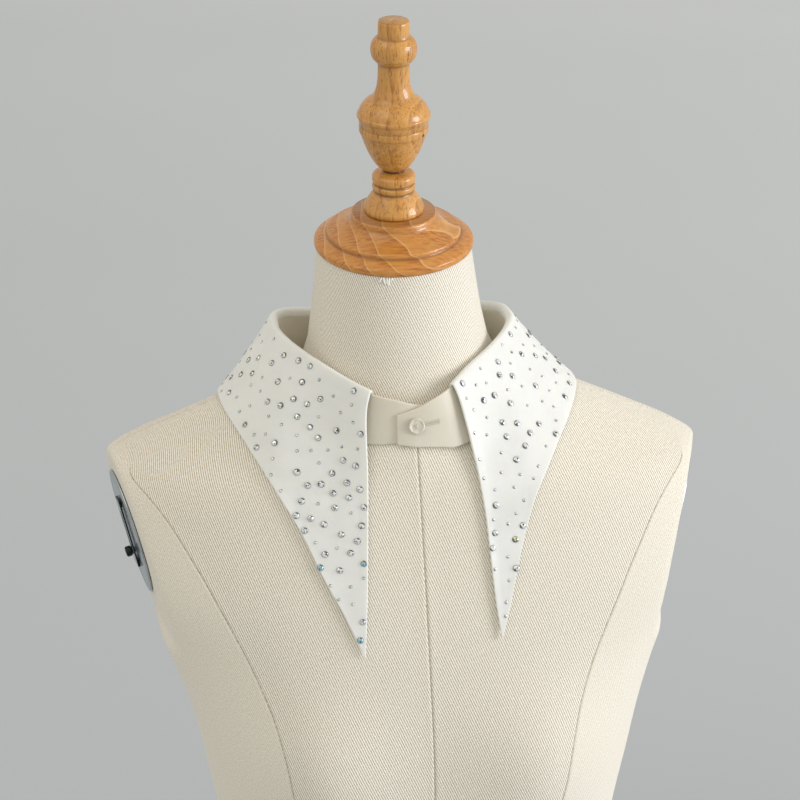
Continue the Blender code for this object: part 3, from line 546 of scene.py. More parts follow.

# %% [markdown]
# ## Turned cap and finial
# The neck ends in a turned wooden cap, and a finial stands on it. A lathe cuts a profile, so the
# same profile is swept round here. Its corners are first cut back twice, as sanding leaves them.
# Each ring of points also keeps how deep in a turned groove it lies, and the material is painted
# darker by that.

# %% Profiles of cap and finial
# (height above the neck's end, radius), in millimetres
NECK_CAP_PROFILE = [
    (0.0, 49.2), (0.8, 50.0), (3.6, 50.0), (4.5, 49.4), (6.0, 46.6), (7.2, 43.4), (7.6, 42.0),
    (10.2, 41.8), (11.0, 40.8), (11.6, 38.0), (13.2, 33.6), (15.6, 29.4), (18.4, 27.0), (21.2, 26.6),
    (22.2, 25.8),
]
FINIAL_PROFILE = [
    (22.5, 18.0), (23.6, 18.9), (25.6, 18.9), (29.0, 17.2), (33.0, 14.6), (36.2, 12.4), (37.0, 12.6),
    (38.0, 13.4), (40.0, 13.4), (41.0, 12.4), (41.8, 12.6), (43.0, 13.4), (46.4, 13.4), (47.8, 12.0),
    (48.6, 8.2), (49.6, 5.8), (51.0, 7.6), (54.2, 11.5), (60.5, 15.2), (66.8, 17.9), (73.0, 20.0),
    (75.0, 20.6), (75.6, 21.3), (79.0, 21.3), (79.6, 20.8), (84.4, 21.8), (85.2, 22.5), (86.6, 22.5),
    (87.4, 21.8), (90.5, 20.6), (94.3, 17.6), (97.5, 12.8), (103.9, 10.2), (111.0, 9.6), (119.0, 9.6),
    (119.8, 11.2), (122.6, 13.4), (127.2, 14.2), (131.6, 13.4), (134.2, 11.2), (135.0, 9.6),
    (143.8, 9.4), (144.6, 8.9),
]
GAP = 0.3 * MM
TURNINGS = 96                       # points round a turned piece
CORNER_CUT = 0.2                    # share of a profile's piece that each cut takes off its ends
GROOVE_STEP, GROOVE_REACH, GROOVE_FULL = 0.25, 8, 0.9    # mm a sample, samples each way, mm deep
NECK_SEAT = Matrix.Translation((0, 0, NECK_TOP)) @ Matrix.Rotation(NECK_TILT, 4, "X")
WOOD_EDGE = math.radians(60)


# %% Turned pieces

def rounded_profile(rows, passes=2):
    """The profile with every corner cut twice, as sanding leaves it."""
    line = np.array(rows, float)
    for _ in range(passes):
        low = line[:-1] * (1 - CORNER_CUT) + line[1:] * CORNER_CUT
        high = line[:-1] * CORNER_CUT + line[1:] * (1 - CORNER_CUT)
        inner = np.stack([low, high], axis=1).reshape(-1, 2)
        line = np.vstack([line[:1], inner, line[-1:]])
    return line


def grooves_of(line):
    """How deep in a groove each row of a profile lies, 0 to 1: the wood is painted darker there."""
    run = np.r_[0, np.cumsum(np.linalg.norm(np.diff(line, axis=0), axis=1))]
    even = np.linspace(0, run[-1], int(run[-1] / GROOVE_STEP))
    radius = np.interp(even, run, line[:, 1])
    window = 2 * GROOVE_REACH + 1
    around = np.convolve(np.pad(radius, GROOVE_REACH, mode="edge"), np.ones(window) / window, mode="valid")
    return np.clip(np.interp(run, even, around - radius) / GROOVE_FULL, 0, 1)


def turn_wood(name, profile, node, wood):
    line = rounded_profile(profile)
    angles = np.linspace(0, 2 * math.pi, TURNINGS, endpoint=False)
    points = [(radius * math.cos(a) * MM, radius * math.sin(a) * MM, height * MM)
              for height, radius in line for a in angles]
    faces = grid_faces(len(line), TURNINGS, closed=True)
    ends = [(0, 0, line[0][0] * MM), (0, 0, line[-1][0] * MM)]
    last = (len(line) - 1) * TURNINGS
    faces += [((j + 1) % TURNINGS, j, len(points)) for j in range(TURNINGS)]
    faces += [(last + j, last + (j + 1) % TURNINGS, len(points) + 1) for j in range(TURNINGS)]
    seat = NECK_SEAT @ Matrix.Translation((0, 0, GAP))
    depth = np.r_[np.repeat(grooves_of(line), TURNINGS), 0, 0]
    obj = add_mesh(name, [seat @ Vector(p) for p in points + ends], faces, [wood],
                   floats={"groove": depth})
    obj.data.set_sharp_from_angle(angle=WOOD_EDGE)
    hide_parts(node)
    print(name, len(obj.data.polygons), "faces")


# %% [markdown]
# ## Lacquered wood
# The wood is a honey brown, like rubberwood, with pale growth lines and short dark pores. Growth
# lines are cylinders about the middle of the trunk, so a turned surface cuts them in arcs or in
# uprights. The cap is turned with the grain across it, and its lines sweep over it in long arcs. The
# finial is turned with the grain running up it, so its lines are upright. Both have a hard clear
# lacquer: a rougher wood colour under a smooth, glossy coat. A small knot hole marks the finial.

# %% Lacquered wood
KNOT_PLACE, KNOT_RADIUS = Vector((16.7, -25.0, 713.6)) * MM, 1.5 * MM


def make_wood(name, shades, line_middle, line_turn, line_period, line_depth, wander, pore_size,
              pore_dark):
    wood, tree, surface = new_material(name, Roughness=0.42, Coat_Weight=0.45, Coat_Roughness=0.06)
    place = add_node(tree, "TexCoord").outputs["Object"]
    moved = add_node(tree, "Mapping", {"Vector": place,
                                       "Location": tuple(-c for c in line_middle)}).outputs[0]
    turned = add_node(tree, "Mapping", {"Vector": moved, "Rotation": line_turn,
                                        "Scale": (1 / MM, 1 / MM, 1 / MM)}).outputs[0]
    lines = add_node(tree, "TexWave", {"Vector": turned, "Scale": WAVE_PERIOD / line_period,
                                       "Distortion": wander, "Detail": 2.0, "Detail Scale": 0.5},
                     wave_type="RINGS", rings_direction="Z", wave_profile="SAW").outputs["Fac"]
    grain = add_node(tree, "Mapping", {"Vector": place, "Rotation": line_turn,
                                       "Scale": tuple(1 / size for size in pore_size)}).outputs[0]
    fibre = add_node(tree, "TexNoise", {"Vector": grain, "Scale": 0.45, "Detail": 5.0,
                                        "Roughness": 0.6}).outputs["Fac"]
    body = add_node(tree, "Math", {0: lines, 1: 0.2, 2: fibre}, operation="MULTIPLY_ADD").outputs[0]
    base = add_node(tree, "ValToRGB", {"Fac": body},
                    stops=[(0.4, shades[0]), (0.58, shades[1]), (0.8, shades[2])])
    pale = add_node(tree, "MapRange", {"Value": lines, "From Min": 0.92, "To Max": line_depth}).outputs[0]
    lined = add_node(tree, "Mix", {0: pale, 6: base.outputs["Color"], 7: colour(shades[3])},
                     data_type="RGBA").outputs[2]
    pores = add_node(tree, "TexNoise", {"Vector": grain, "Scale": 1.0, "Detail": 2.0}).outputs["Fac"]
    spots = add_node(tree, "MapRange", {"Value": pores, "From Min": 0.6, "From Max": 0.7,
                                        "To Max": pore_dark}).outputs[0]
    groove = add_node(tree, "Attribute", attribute_name="groove").outputs["Fac"]
    deep = add_node(tree, "Math", {0: groove, 1: 1.35}, operation="MULTIPLY", use_clamp=True).outputs[0]
    away = add_node(tree, "VectorMath", {0: place, 1: KNOT_PLACE}, operation="DISTANCE").outputs["Value"]
    knot = add_node(tree, "MapRange", {"Value": away, "From Min": 0.6 * KNOT_RADIUS, "To Max": 0.0,
                                       "From Max": KNOT_RADIUS, "To Min": 1.0}).outputs[0]
    dark = add_node(tree, "Math", {0: spots, 1: deep}, operation="MAXIMUM").outputs[0]
    darker = add_node(tree, "Math", {0: dark, 1: knot}, operation="MAXIMUM").outputs[0]
    tint = add_node(tree, "Mix", {0: darker, 6: lined, 7: colour("#4A2A10")},
                    data_type="RGBA").outputs[2]
    tree.links.new(tint, surface.inputs["Base Color"])
    bump = add_node(tree, "Bump", {"Height": pores, "Strength": 0.12, "Distance": 0.15 * MM})
    tree.links.new(bump.outputs["Normal"], surface.inputs["Normal"])
    return wood


cap_wood = make_wood("lacquered wood across the grain", ("#AE6825", "#CC883A", "#D6984C", "#F0C88E"),
                     (0.05, 0.09, 0.74), (math.radians(78), 0.0, math.radians(38)), 10.0, 0.6, 4.5,
                     (0.006, 0.0007, 0.0007), 0.22)
spindle_wood = make_wood("lacquered wood along the grain", ("#B07430", "#D19649", "#DAA155", "#E2B06A"),
                         (-0.15, 0.05, 0.0), (0.0, 0.0, 0.0), 11.0, 0.3, 5.0, (0.0008, 0.0008, 0.007), 0.7)
turn_wood("turned_cap", NECK_CAP_PROFILE, "neck_cap", cap_wood)
turn_wood("turned_finial", FINIAL_PROFILE, "finial", spindle_wood)

# %% [markdown]
# ## Plated steel, and dark steel with painted shade
# The arm plates are nickel plated steel: a pale, slightly cool grey metal, polished but handled, so
# its gloss is uneven. The screw is a much darker steel, and paler where it is worn. The same dark
# steel is put on the bracket's side and inner faces as painted shade. Both are one material function
# with other shades. Metallic is 1, and the base colour is then the colour of the reflection.

# %% Steel
def make_steel(name, shades):
    steel, tree, surface = new_material(name, Metallic=1.0, Roughness=0.3)
    place = add_node(tree, "TexCoord").outputs["Object"]
    wear = add_node(tree, "TexNoise", {"Vector": place, "Scale": 90.0, "Detail": 4.0}).outputs["Fac"]
    tint = add_node(tree, "ValToRGB", {"Fac": wear},
                    stops=[(0.35, shades[0]), (0.6, shades[1]), (0.8, shades[2])]).outputs["Color"]
    rough = add_node(tree, "MapRange", {"Value": wear, "To Min": 0.2, "To Max": 0.38}).outputs[0]
    tree.links.new(tint, surface.inputs["Base Color"])
    tree.links.new(rough, surface.inputs["Roughness"])
    fine = add_node(tree, "TexNoise", {"Vector": place, "Scale": 900.0}).outputs["Fac"]
    bump = add_node(tree, "Bump", {"Height": fine, "Strength": 0.05, "Distance": 0.1 * MM})
    tree.links.new(bump.outputs["Normal"], surface.inputs["Normal"])
    return steel


plated_steel = make_steel("nickel plated steel", ("#A9B0B5", "#BCC3C8", "#CDD3D6"))
# dark steel: the screw's own colour, and painted shade on the bracket's side and inner faces
dark_steel_and_shade = make_steel("dark steel and painted shade", ("#1A1F20", "#383F41", "#667073"))
print("steels:", plated_steel.name, "and", dark_steel_and_shade.name)

# %% [markdown]
# ## The collar's sections
# A pattern maker describes a collar by its edges: the seam at the neck, the fold, the front edges
# and the outer edge. The tables below do the same, in millimetres, and they are the ones that the
# CAD solids were made from. The right and the left side have columns of their own, because cloth that
# is buttoned, with one end over the other, never hangs quite evenly.

# %% Collar sizes
COLLAR_X, COLLAR_TURN = 2 * MM, math.radians(4.2)
STAND_WALL, LEAF_WALL = 1.5 * MM, 1.6 * MM
SEAT = 0.45 * MM
STAND_SEARCH_HEIGHT = NECK_TOP - 40 * MM
LEAST_SLOPE = 0.3
LEAF_CLEAR = LEAF_WALL / 2 + 1.3 * MM
LEAF_REACH = 25 * MM
LEAF_EASING, EDGE_EASING, LEAF_FINISHING = 400, 6, 2
LEAF_ROW_POWER = 1.15
OVERLAP_LIFT, OVERLAP_SHARES, BOWED_SHARES = STAND_WALL + 2 * GAP, (0.90, 1.05), (0.80, 1.0)
PLAN_STEP = 0.01
FOLD_RISES, FOLD_RADII = (3.0 * MM, 0.3 * MM), (2.2 * MM, 1.6 * MM)
FOLD_STEPS, FOLD_SWEEP = 5, 150
LEAF_COLUMNS, LEAF_ROWS = 74, 13
STAND_OVER_END, STAND_UNDER_END = 1.355, -1.41

# %% Collar tables
# share: 0 at the middle of the back, 1 at the leaf's front end. Then right and left across,
# right and left along, and the height of the fold on the right and the left, in millimetres.
FOLD_ROWS = [
    (0.00, 0.0, 0.0, 65.0, 65.0, 578.0, 578.0),
    (0.16, 30.5, 29.0, 61.0, 61.0, 580.0, 579.0),
    (0.30, 55.0, 51.5, 50.0, 50.0, 584.5, 582.0),
    (0.40, 69.0, 65.0, 36.0, 36.0, 589.5, 585.5),
    (0.48, 75.5, 71.5, 20.0, 20.0, 591.5, 587.5),
    (0.56, 76.0, 72.0, 5.0, 5.0, 589.5, 587.0),
    (0.64, 71.0, 67.0, -10.0, -10.0, 585.5, 584.5),
    (0.72, 62.5, 59.0, -23.0, -23.0, 581.0, 582.0),
    (0.80, 52.5, 48.5, -35.5, -36.0, 576.5, 578.5),
    (0.88, 43.0, 37.5, -46.5, -47.0, 572.5, 575.0),
    (0.94, 35.0, 28.3, -55.5, -55.5, 569.5, 571.0),
    (1.00, 26.5, 20.6, -62.5, -62.0, 566.5, 567.7),
]
# The same ring carried on to the ends of the stand, with the height of its top edge on the under
# end, the right one, and on the over end.
STAND_END_ROWS = [
    (1.00, 26.5, 20.6, -62.5, -62.0, 563.5, 564.7),
    (1.12, 13.5, 11.5, -67.0, -67.0, 560.7, 561.5),
    (1.24, 0.0, 0.0, -68.4, -68.4, 557.0, 556.0),
    (1.36, -13.5, -13.0, -67.0, -67.0, 555.5, 551.4),
    (1.44, -21.0, -21.0, -64.4, -64.4, 551.0, 548.0),
]
STAND_TOP_ROWS = FOLD_ROWS + STAND_END_ROWS[1:]
STAND_BOTTOM_ROWS = [
    (0.00, 0.0, 0.0, 70.0, 70.0),
    (0.16, 32.0, 31.0, 66.0, 66.0),
    (0.30, 57.0, 55.0, 54.0, 54.0),
    (0.40, 71.0, 68.5, 38.0, 38.0),
    (0.48, 77.5, 75.0, 20.0, 20.0),
    (0.56, 78.5, 76.0, 4.0, 4.0),
    (0.64, 75.0, 73.0, -13.0, -13.0),
    (0.72, 67.5, 67.0, -28.0, -29.0),
    (0.80, 57.5, 58.0, -42.5, -45.0),
    (0.88, 47.0, 46.0, -55.0, -58.0),
    (0.94, 38.6, 37.2, -64.3, -68.3),
    (1.00, 28.0, 25.9, -68.2, -72.5),
    (1.12, 13.5, 13.0, -71.65, -73.9),
    (1.24, 0.0, 0.0, -74.1, -74.1),
    (1.36, -13.0, -13.5, -73.9, -71.65),
    (1.44, -21.0, -22.0, -72.8, -69.6),
]
# How far the leaf's front edge bows towards the middle, from the fold to the point: right, left.
FRONT_BOW_ROWS = [
    (0.00, 0.0, 0.0), (0.07, -1.8, -1.6), (0.30, 0.6, -2.0), (0.50, 1.6, -1.0),
    (0.70, 1.8, 0.8), (0.85, 1.2, 1.3), (1.00, 0.0, 0.0),
]
# The leaf's outer edge from the point, 0, to the middle of the back, 1: across, along, height.
RIGHT_EDGE_ROWS = [
    (0.00, 40.0, -104.0, 405.0), (0.08, 52.6, -97.0, 434.0), (0.15, 64.0, -90.0, 457.0),
    (0.22, 74.5, -81.0, 482.0), (0.29, 87.0, -70.0, 504.0), (0.35, 96.0, -57.0, 518.0),
    (0.43, 107.0, -33.0, 533.0), (0.50, 114.0, -10.0, 541.5), (0.56, 115.0, 10.0, 544.0),
    (0.64, 109.0, 36.0, 538.0), (0.73, 92.0, 62.0, 532.0), (0.84, 60.0, 79.0, 532.0),
    (1.00, 0.0, 86.0, 533.0),
]
LEFT_EDGE_ROWS = [
    (0.00, 45.6, -108.5, 412.0), (0.06, 51.0, -104.5, 431.0), (0.15, 60.0, -96.0, 466.0),
    (0.22, 69.6, -87.0, 494.0), (0.28, 78.5, -78.0, 509.0), (0.35, 89.5, -63.0, 523.0),
    (0.42, 100.0, -48.0, 533.0), (0.49, 108.0, -28.0, 541.0), (0.56, 114.0, 4.0, 545.0),
    (0.64, 109.0, 34.0, 538.0), (0.73, 92.0, 62.0, 532.0), (0.84, 60.0, 79.0, 532.0),
    (1.00, 0.0, 86.0, 533.0),
]
print("collar tables:", len(FOLD_ROWS), "rows of the fold,", len(STAND_BOTTOM_ROWS), "of the seat")


# %% Places on the collar
def collar_to_world(across, along, height):
    """World point of the collar's own axes: across to the wearer's left, along to the back."""
    flat = Matrix.Rotation(COLLAR_TURN, 3, "Z") @ Vector((across, along, 0.0))
    return Vector((flat.x + COLLAR_X, flat.y, height))


def row_at(rows, share):
    """The columns after the first, in metres, read off a table at this share."""
    columns = np.array(rows, float).T
    return [float(smooth_through(columns[0], column, share)) * MM for column in columns[1:]]


def plan_at(rows, share):
    """Plan position on a ring of the stand, from the columns of its own side."""
    right_across, left_across, right_along, left_along = row_at(rows, abs(share))[:4]
    if share >= 0:
        return Vector((left_across, left_along, 0.0))
    return Vector((-right_across, right_along, 0.0))


def stand_plan(rows, share):
    """Plan position on a ring of the stand, and the way out of the ring there."""
    way = plan_at(rows, share + PLAN_STEP) - plan_at(rows, share - PLAN_STEP)
    return plan_at(rows, share), Vector((-way.y, way.x, 0.0)).normalized()


def along_fold(values, share):
    """A size of the fold that changes from the back to the front."""
    return values[0] + (values[1] - values[0]) * smooth_step(0.3, 1.0, abs(share))


def stand_tops(share):
    """Height of the stand's top edge, and the height where its slope meets the top ring's plan."""
    if abs(share) > 1.0:
        under, over = row_at(STAND_END_ROWS, abs(share))[4:]
        return (over if share > 0 else under), under
    right, left = row_at(FOLD_ROWS, abs(share))[4:]
    below = GAP + along_fold(FOLD_RISES, share) + along_fold(FOLD_RADII, share) + LEAF_WALL / 2
    top = (left if share > 0 else right) - below
    return top, top


# %% [markdown]
# ## The stand's section
# The stand is a band on edge. Its foot rests on the torso, so a ray is cast down at both faces of
# its wall and the foot stays clear of the higher hit. Its top follows the fold. Where the ends
# overlap at the throat, the over end is lifted out over the cloth beneath it.

# %% The stand's section
def surface_below(torso_tree, point):
    """Height and normal of the torso's top surface under a plan position."""
    above = Vector((point.x, point.y, STAND_SEARCH_HEIGHT))
    hit, normal, _, _ = torso_tree.ray_cast(above, Vector((0, 0, -1)))
    return hit.z, max(normal.z, LEAST_SLOPE)


def stand_section(torso_tree, share):
    """The foot and the head of the middle of the stand's wall."""
    low, out_low = stand_plan(STAND_BOTTOM_ROWS, share)
    high, out_high = stand_plan(STAND_TOP_ROWS, share)
    top, full = stand_tops(share)
    seats = [surface_below(torso_tree, collar_to_world(*(low + out_low * side * STAND_WALL / 2)))
             for side in (-1, 1)]
    bottom = max(surface + SEAT / slope for surface, slope in seats)
    lift = OVERLAP_LIFT * smooth_step(*OVERLAP_SHARES, share)
    foot = collar_to_world(*(low + out_low * lift).xy, bottom)
    head = collar_to_world(*(high + out_high * lift).xy, full)
    return foot, foot.lerp(head, (top - bottom) / (full - bottom))


# %% [markdown]
# ## The leaf's drape
# The leaf rises from the stand, turns over in a tight fold and falls to its outer edge. Cloth could
# be simulated, but then its edges would land where the solver leaves them. Here the edges are given,
# and only the cloth between them is found. Ribs run from the fold to the edge. The points between are
# drawn together as taut cloth is, and are pushed out wherever the torso or the stand is in the way.

# %% One rib of the leaf
def leaf_rib(share):
    """One rib of the leaf's middle: its points over the fold, the free ones below, and the way out."""
    plan, out = stand_plan(STAND_TOP_ROWS, share)
    plan += out * OVERLAP_LIFT * smooth_step(*OVERLAP_SHARES, share)
    top = stand_tops(share)[0] + GAP
    rise, radius = along_fold(FOLD_RISES, share), along_fold(FOLD_RADII, share)

    def at(outward, up):
        place = plan + out * outward
        return collar_to_world(place.x, place.y, top + up)
    fold = [at(0.0, 0.0), at(0.0, rise)]
    for i in range(1, FOLD_STEPS + 1):
        angle = math.radians(FOLD_SWEEP) * i / FOLD_STEPS
        fold.append(at(radius * (1 - math.cos(angle)), rise + radius * math.sin(angle)))
    is_left = share >= 0
    across, along, height = row_at(LEFT_EDGE_ROWS if is_left else RIGHT_EDGE_ROWS, 1.0 - abs(share))
    edge = collar_to_world(across if is_left else -across, along, height)
    line = (edge - fold[-1]).normalized()
    level_out = at(1.0, 0.0) - at(0.0, 0.0)
    way_out = (level_out - line * level_out.dot(line)).normalized()
    middle_way = collar_to_world(-1.0 if is_left else 1.0, 0.0, 0.0) - collar_to_world(0.0, 0.0, 0.0)
    near_front = smooth_step(*BOWED_SHARES, abs(share))
    free = []
    for i in range(1, LEAF_ROWS + 1):
        along_rib = (i / LEAF_ROWS) ** LEAF_ROW_POWER
        bow = row_at(FRONT_BOW_ROWS, along_rib)[1 if is_left else 0] * near_front
        free.append(fold[-1].lerp(edge, along_rib) + middle_way * bow)
    return fold, free, way_out


# %% Draping the leaf
STEEPEST = 0.5                      # least share of a hit's normal along the way out


def needed_offset(trees, point, way_out):
    """How far along way_out the leaf's middle has to lie from this point to be clear of every tree."""
    needed = -LEAF_REACH
    for tree in trees:
        hit, normal, _, _ = tree.ray_cast(point + way_out * LEAF_REACH, -way_out, 2 * LEAF_REACH)
        if hit:
            steep = max(abs(normal.dot(way_out)), STEEPEST)
            needed = max(needed, (hit - point).dot(way_out) + LEAF_CLEAR / steep)
    return needed


def draped_leaf(trees):
    """The grid of the leaf's middle: cloth drawn taut from the fold to the edge over the form."""
    ribs = [leaf_rib(-1.0 + 2.0 * i / LEAF_COLUMNS) for i in range(LEAF_COLUMNS + 1)]
    needed = np.array([[needed_offset(trees, point, way_out) for point in free]
                       for _, free, way_out in ribs])
    edge = needed[:, -1].copy()
    for _ in range(EDGE_EASING):
        edge[1:-1] = np.maximum((edge[:-2] + 2 * edge[1:-1] + edge[2:]) / 4, needed[1:-1, -1])
    offset = np.zeros((LEAF_COLUMNS + 1, LEAF_ROWS + 1))
    offset[:, 1:] = needed
    offset[:, -1] = edge
    for turn in range(LEAF_EASING + LEAF_FINISHING):
        near = np.vstack([offset[:1], offset, offset[-1:]])
        eased = (near[:-2, 1:-1] + near[2:, 1:-1] + offset[:, :-2] + offset[:, 2:]) / 4
        offset[:, 1:-1] = np.maximum(eased, needed[:, :-1]) if turn < LEAF_EASING else eased
    return np.array([[tuple(p) for p in fold]
                     + [tuple(point + way_out * float(push)) for point, push in zip(free, row[1:])]
                     for (fold, free, way_out), row in zip(ribs, offset)])


# %% [markdown]
# ## Cloth with a thickness
# Two layers of shirting sewn, turned and pressed are over a millimetre thick, and the rounded edge
# shows it. A Solidify modifier would leave square rims. Here the wall's half thickness follows a
# quarter circle at every rim, and the cloth is slightly thicker for a few millimetres in, where the
# seam allowance lies inside.

# %% Cloth walls
RIM_STEPS = [0.0, 0.012, 0.035, 0.07, 0.12, 0.2]    # shares of a section, close together at a rim
ALLOWANCE, ALLOWANCE_BULK = 6.5 * MM, 0.12 * MM     # seam allowance turned in, and what it adds
ALLOWANCE_FADE, BULK_START = 0.5 * MM, 0.6          # its soft inner end; share of the wall at the rim


def places(count, fine, low_rim=True, high_rim=True):
    """Fractional places 0 to count, `fine` to a section, closer together at the rims."""
    inner = np.linspace(0, count, count * fine + 1)
    low = RIM_STEPS if low_rim else [0.0]
    high = [count - step for step in RIM_STEPS] if high_rim else [count]
    return np.unique(np.round(np.r_[inner, low, high], 6))


def unit_normals(grid):
    normal = np.cross(np.gradient(grid, axis=0), np.gradient(grid, axis=1))
    return normal / np.linalg.norm(normal, axis=2, keepdims=True)


def lengths_along(grid, axis):
    """Length from the first point of each line of a grid along this axis."""
    steps = np.linalg.norm(np.diff(grid, axis=axis), axis=2)
    start = np.zeros_like(np.take(steps, [0], axis=axis))
    return np.concatenate([start, np.cumsum(steps, axis=axis)], axis=axis)


def cloth_wall(name, grid, outward, wall, cotton):
    """A closed wall of cloth about a grid of middle points; returns the object and its outer face."""
    across, down = lengths_along(grid, 0), lengths_along(grid, 1)
    rim = np.minimum(np.minimum(across, across[-1:] - across), np.minimum(down, down[:, -1:] - down))
    inner = np.clip(rim / (wall / 2), 0, 1)
    half = wall / 2 * np.sqrt(1 - (1 - inner) ** 2)
    inside = 1 / (1 + np.exp((rim - ALLOWANCE) / ALLOWANCE_FADE))
    half += ALLOWANCE_BULK * np.clip(rim / (BULK_START * wall), 0, 1) * inside
    outer, back = grid + outward * half[..., None], grid - outward * half[..., None]
    rows, columns = grid.shape[:2]
    faces = grid_faces(rows, columns) + grid_faces(rows, columns, first=rows * columns)
    points = np.vstack([outer.reshape(-1, 3), back.reshape(-1, 3)])
    middle = across[-1:] / 2
    uv = np.stack([across - middle, down], axis=2).reshape(-1, 2)
    obj = add_mesh(name, points, faces, [cotton], uvs=np.vstack([uv, uv]))
    area = sum(face.area for face in obj.data.polygons) / 2
    print(name, len(obj.data.polygons), "faces, area", round(area, 5))
    return obj, outer


# %% [markdown]
# ## Soft creases
# Pressed cotton on a form is never quite flat. Each crease below is a long low swelling, or a hollow
# where its height is negative, from one place on the leaf to another. Places are shares of the leaf's
# length and depth. The swellings are moved into the mesh and not a bump map, so the light slides
# over them as it does over cloth.

# %% Creases
LEAF_CREASES = [
    # from (share, depth), to (share, depth), half width, height, in millimetres
    ((-0.97, 0.30), (-0.70, 0.56), 7.0, 0.50),
    ((-0.98, 0.44), (-0.80, 0.62), 5.0, -0.45),
    ((-0.93, 0.36), (-0.88, 0.62), 6.0, 0.40),
    ((-0.72, 0.20), (-0.60, 0.70), 10.0, 0.55),
    ((-0.52, 0.15), (-0.50, 0.95), 9.0, -0.50),
    ((-0.96, 0.62), (-0.93, 0.92), 5.0, 0.30),
    ((-0.30, 0.10), (-0.26, 0.90), 12.0, 0.50),
    ((-0.10, 0.20), (-0.08, 0.95), 9.0, -0.40),
    ((0.12, 0.15), (0.10, 0.95), 11.0, 0.50),
    ((0.31, 0.10), (0.35, 0.85), 10.0, -0.45),
    ((0.53, 0.12), (0.50, 0.95), 9.0, 0.50),
    ((0.70, 0.10), (0.64, 0.80), 8.0, -0.40),
    ((0.97, 0.25), (0.78, 0.45), 6.0, 0.40),
    ((0.96, 0.55), (0.90, 0.80), 5.0, -0.30),
]


CREASE_ENDS, CREASE_POWER = (0.12, 0.76), 0.8       # where the sine of its height starts; its fullness


def creased(grid, outward, creases, first_row):
    """The grid with each crease pushed along the way out. Depth counts from first_row to the edge."""
    rows = grid.shape[1] - 1

    def at(share, depth):
        i = int(round((share + 1) / 2 * (len(grid) - 1)))
        return grid[i, int(round(first_row + depth * (rows - first_row)))]
    push = np.zeros(grid.shape[:2])
    for start, end, wide, high in creases:
        a, b = at(*start), at(*end)
        way = b - a
        t = ((grid - a) @ way) / (way @ way)
        near = np.clip(t, 0, 1)
        aside = np.linalg.norm(grid - (a + near[..., None] * way), axis=2)
        start_share, run_share = CREASE_ENDS
        fade = np.sin(math.pi * np.clip(start_share + run_share * near, 0, 1)) ** CREASE_POWER
        push += high * MM * fade * np.exp(-(aside / (wide * MM)) ** 2)
    return grid + outward * push[..., None]


# %% [markdown]
# ## White cotton poplin
# Shirting is poplin: a plain weave of yarns about 0.3 mm apart, pressed smooth. That is finer than
# the render's pixels, so the weave is drawn at 0.55 mm, where it shows as a faint grain. Pressed cotton
# has a faint satin gloss and a soft sheen. Light also passes into the thin cloth and comes out a few
# millimetres on, which subsurface scattering gives. The stand is the same white cloth, drawn as a
# darker, warmer copy: painted shade for the shade it lies in under the leaf.

# %% White cotton poplin
WEAVE_PERIOD = 0.55                 # millimetres


def make_cotton(name, shades, light_reach):
    cotton, tree, surface = new_material(name, Roughness=0.55, Sheen_Weight=0.25,
                                         Sheen_Roughness=0.4, Specular_IOR_Level=0.35,
                                         Subsurface_Weight=0.4, Subsurface_Scale=light_reach,
                                         Subsurface_Radius=(1.0, 0.85, 0.65))
    cloth = add_node(tree, "UVMap", uv_map="cloth").outputs["UV"]
    scaled = add_node(tree, "Mapping", {"Vector": cloth, "Scale": (1 / MM, 1 / MM, 1)}).outputs[0]
    warp = add_node(tree, "TexWave", {"Vector": scaled, "Scale": WAVE_PERIOD / WEAVE_PERIOD,
                                      "Distortion": 0.6},
                    bands_direction="X").outputs["Fac"]
    weft = add_node(tree, "TexWave", {"Vector": scaled, "Scale": WAVE_PERIOD / WEAVE_PERIOD,
                                      "Distortion": 0.6},
                    bands_direction="Y").outputs["Fac"]
    weave = add_node(tree, "Math", {0: warp, 1: weft}, operation="MULTIPLY").outputs[0]
    soft = add_node(tree, "TexNoise", {"Vector": cloth, "Scale": 28.0, "Detail": 3.0}).outputs["Fac"]
    body = add_node(tree, "Math", {0: weave, 1: 0.35, 2: soft}, operation="MULTIPLY_ADD").outputs[0]
    tint = add_node(tree, "ValToRGB", {"Fac": body},
                    stops=[(0.25, shades[0]), (0.9, shades[1])]).outputs["Color"]
    tree.links.new(tint, surface.inputs["Base Color"])
    near = add_node(tree, "Bump", {"Height": weave, "Strength": 0.25, "Distance": 0.08 * MM})
    slack = add_node(tree, "Bump", {"Height": soft, "Strength": 0.35, "Distance": 0.5 * MM,
                                    "Normal": near.outputs["Normal"]})
    tree.links.new(slack.outputs["Normal"], surface.inputs["Normal"])
    return cotton


LIGHT_REACH = 2.5 * MM              # how far light travels inside the cloth
leaf_cotton = make_cotton("white cotton poplin", ("#E6E8E4", "#F2F3F0"), LIGHT_REACH)
# painted shade: the stand's white is a darker, warmer copy of the leaf's
shaded_stand_cotton = make_cotton("white cotton poplin in painted shade", ("#D8D2C2", "#E2DDD0"), LIGHT_REACH)
print("cottons:", leaf_cotton.name, "and", shaded_stand_cotton.name)

# %% [markdown]
# ## Stand and leaf
# Both are made alike: a coarse grid of the cloth's middle from the sections, smooth curves through
# it, then a wall about it. On a real collar the leaf is sewn to the stand's top edge, so here that
# edge reaches a little way up under the leaf and no gap shows.

# %% Helpers for both
torso_tree = tree_of(NODES["form_torso"])
stand_tree = tree_of(NODES["collar_stand"])


def way_outward(grid, from_row):
    """Unit normals of a grid, turned away from the neck."""
    normal = unit_normals(grid)
    away = (normal[:, from_row:, :2] * grid[:, from_row:, :2]).sum()
    return normal if away > 0 else -normal


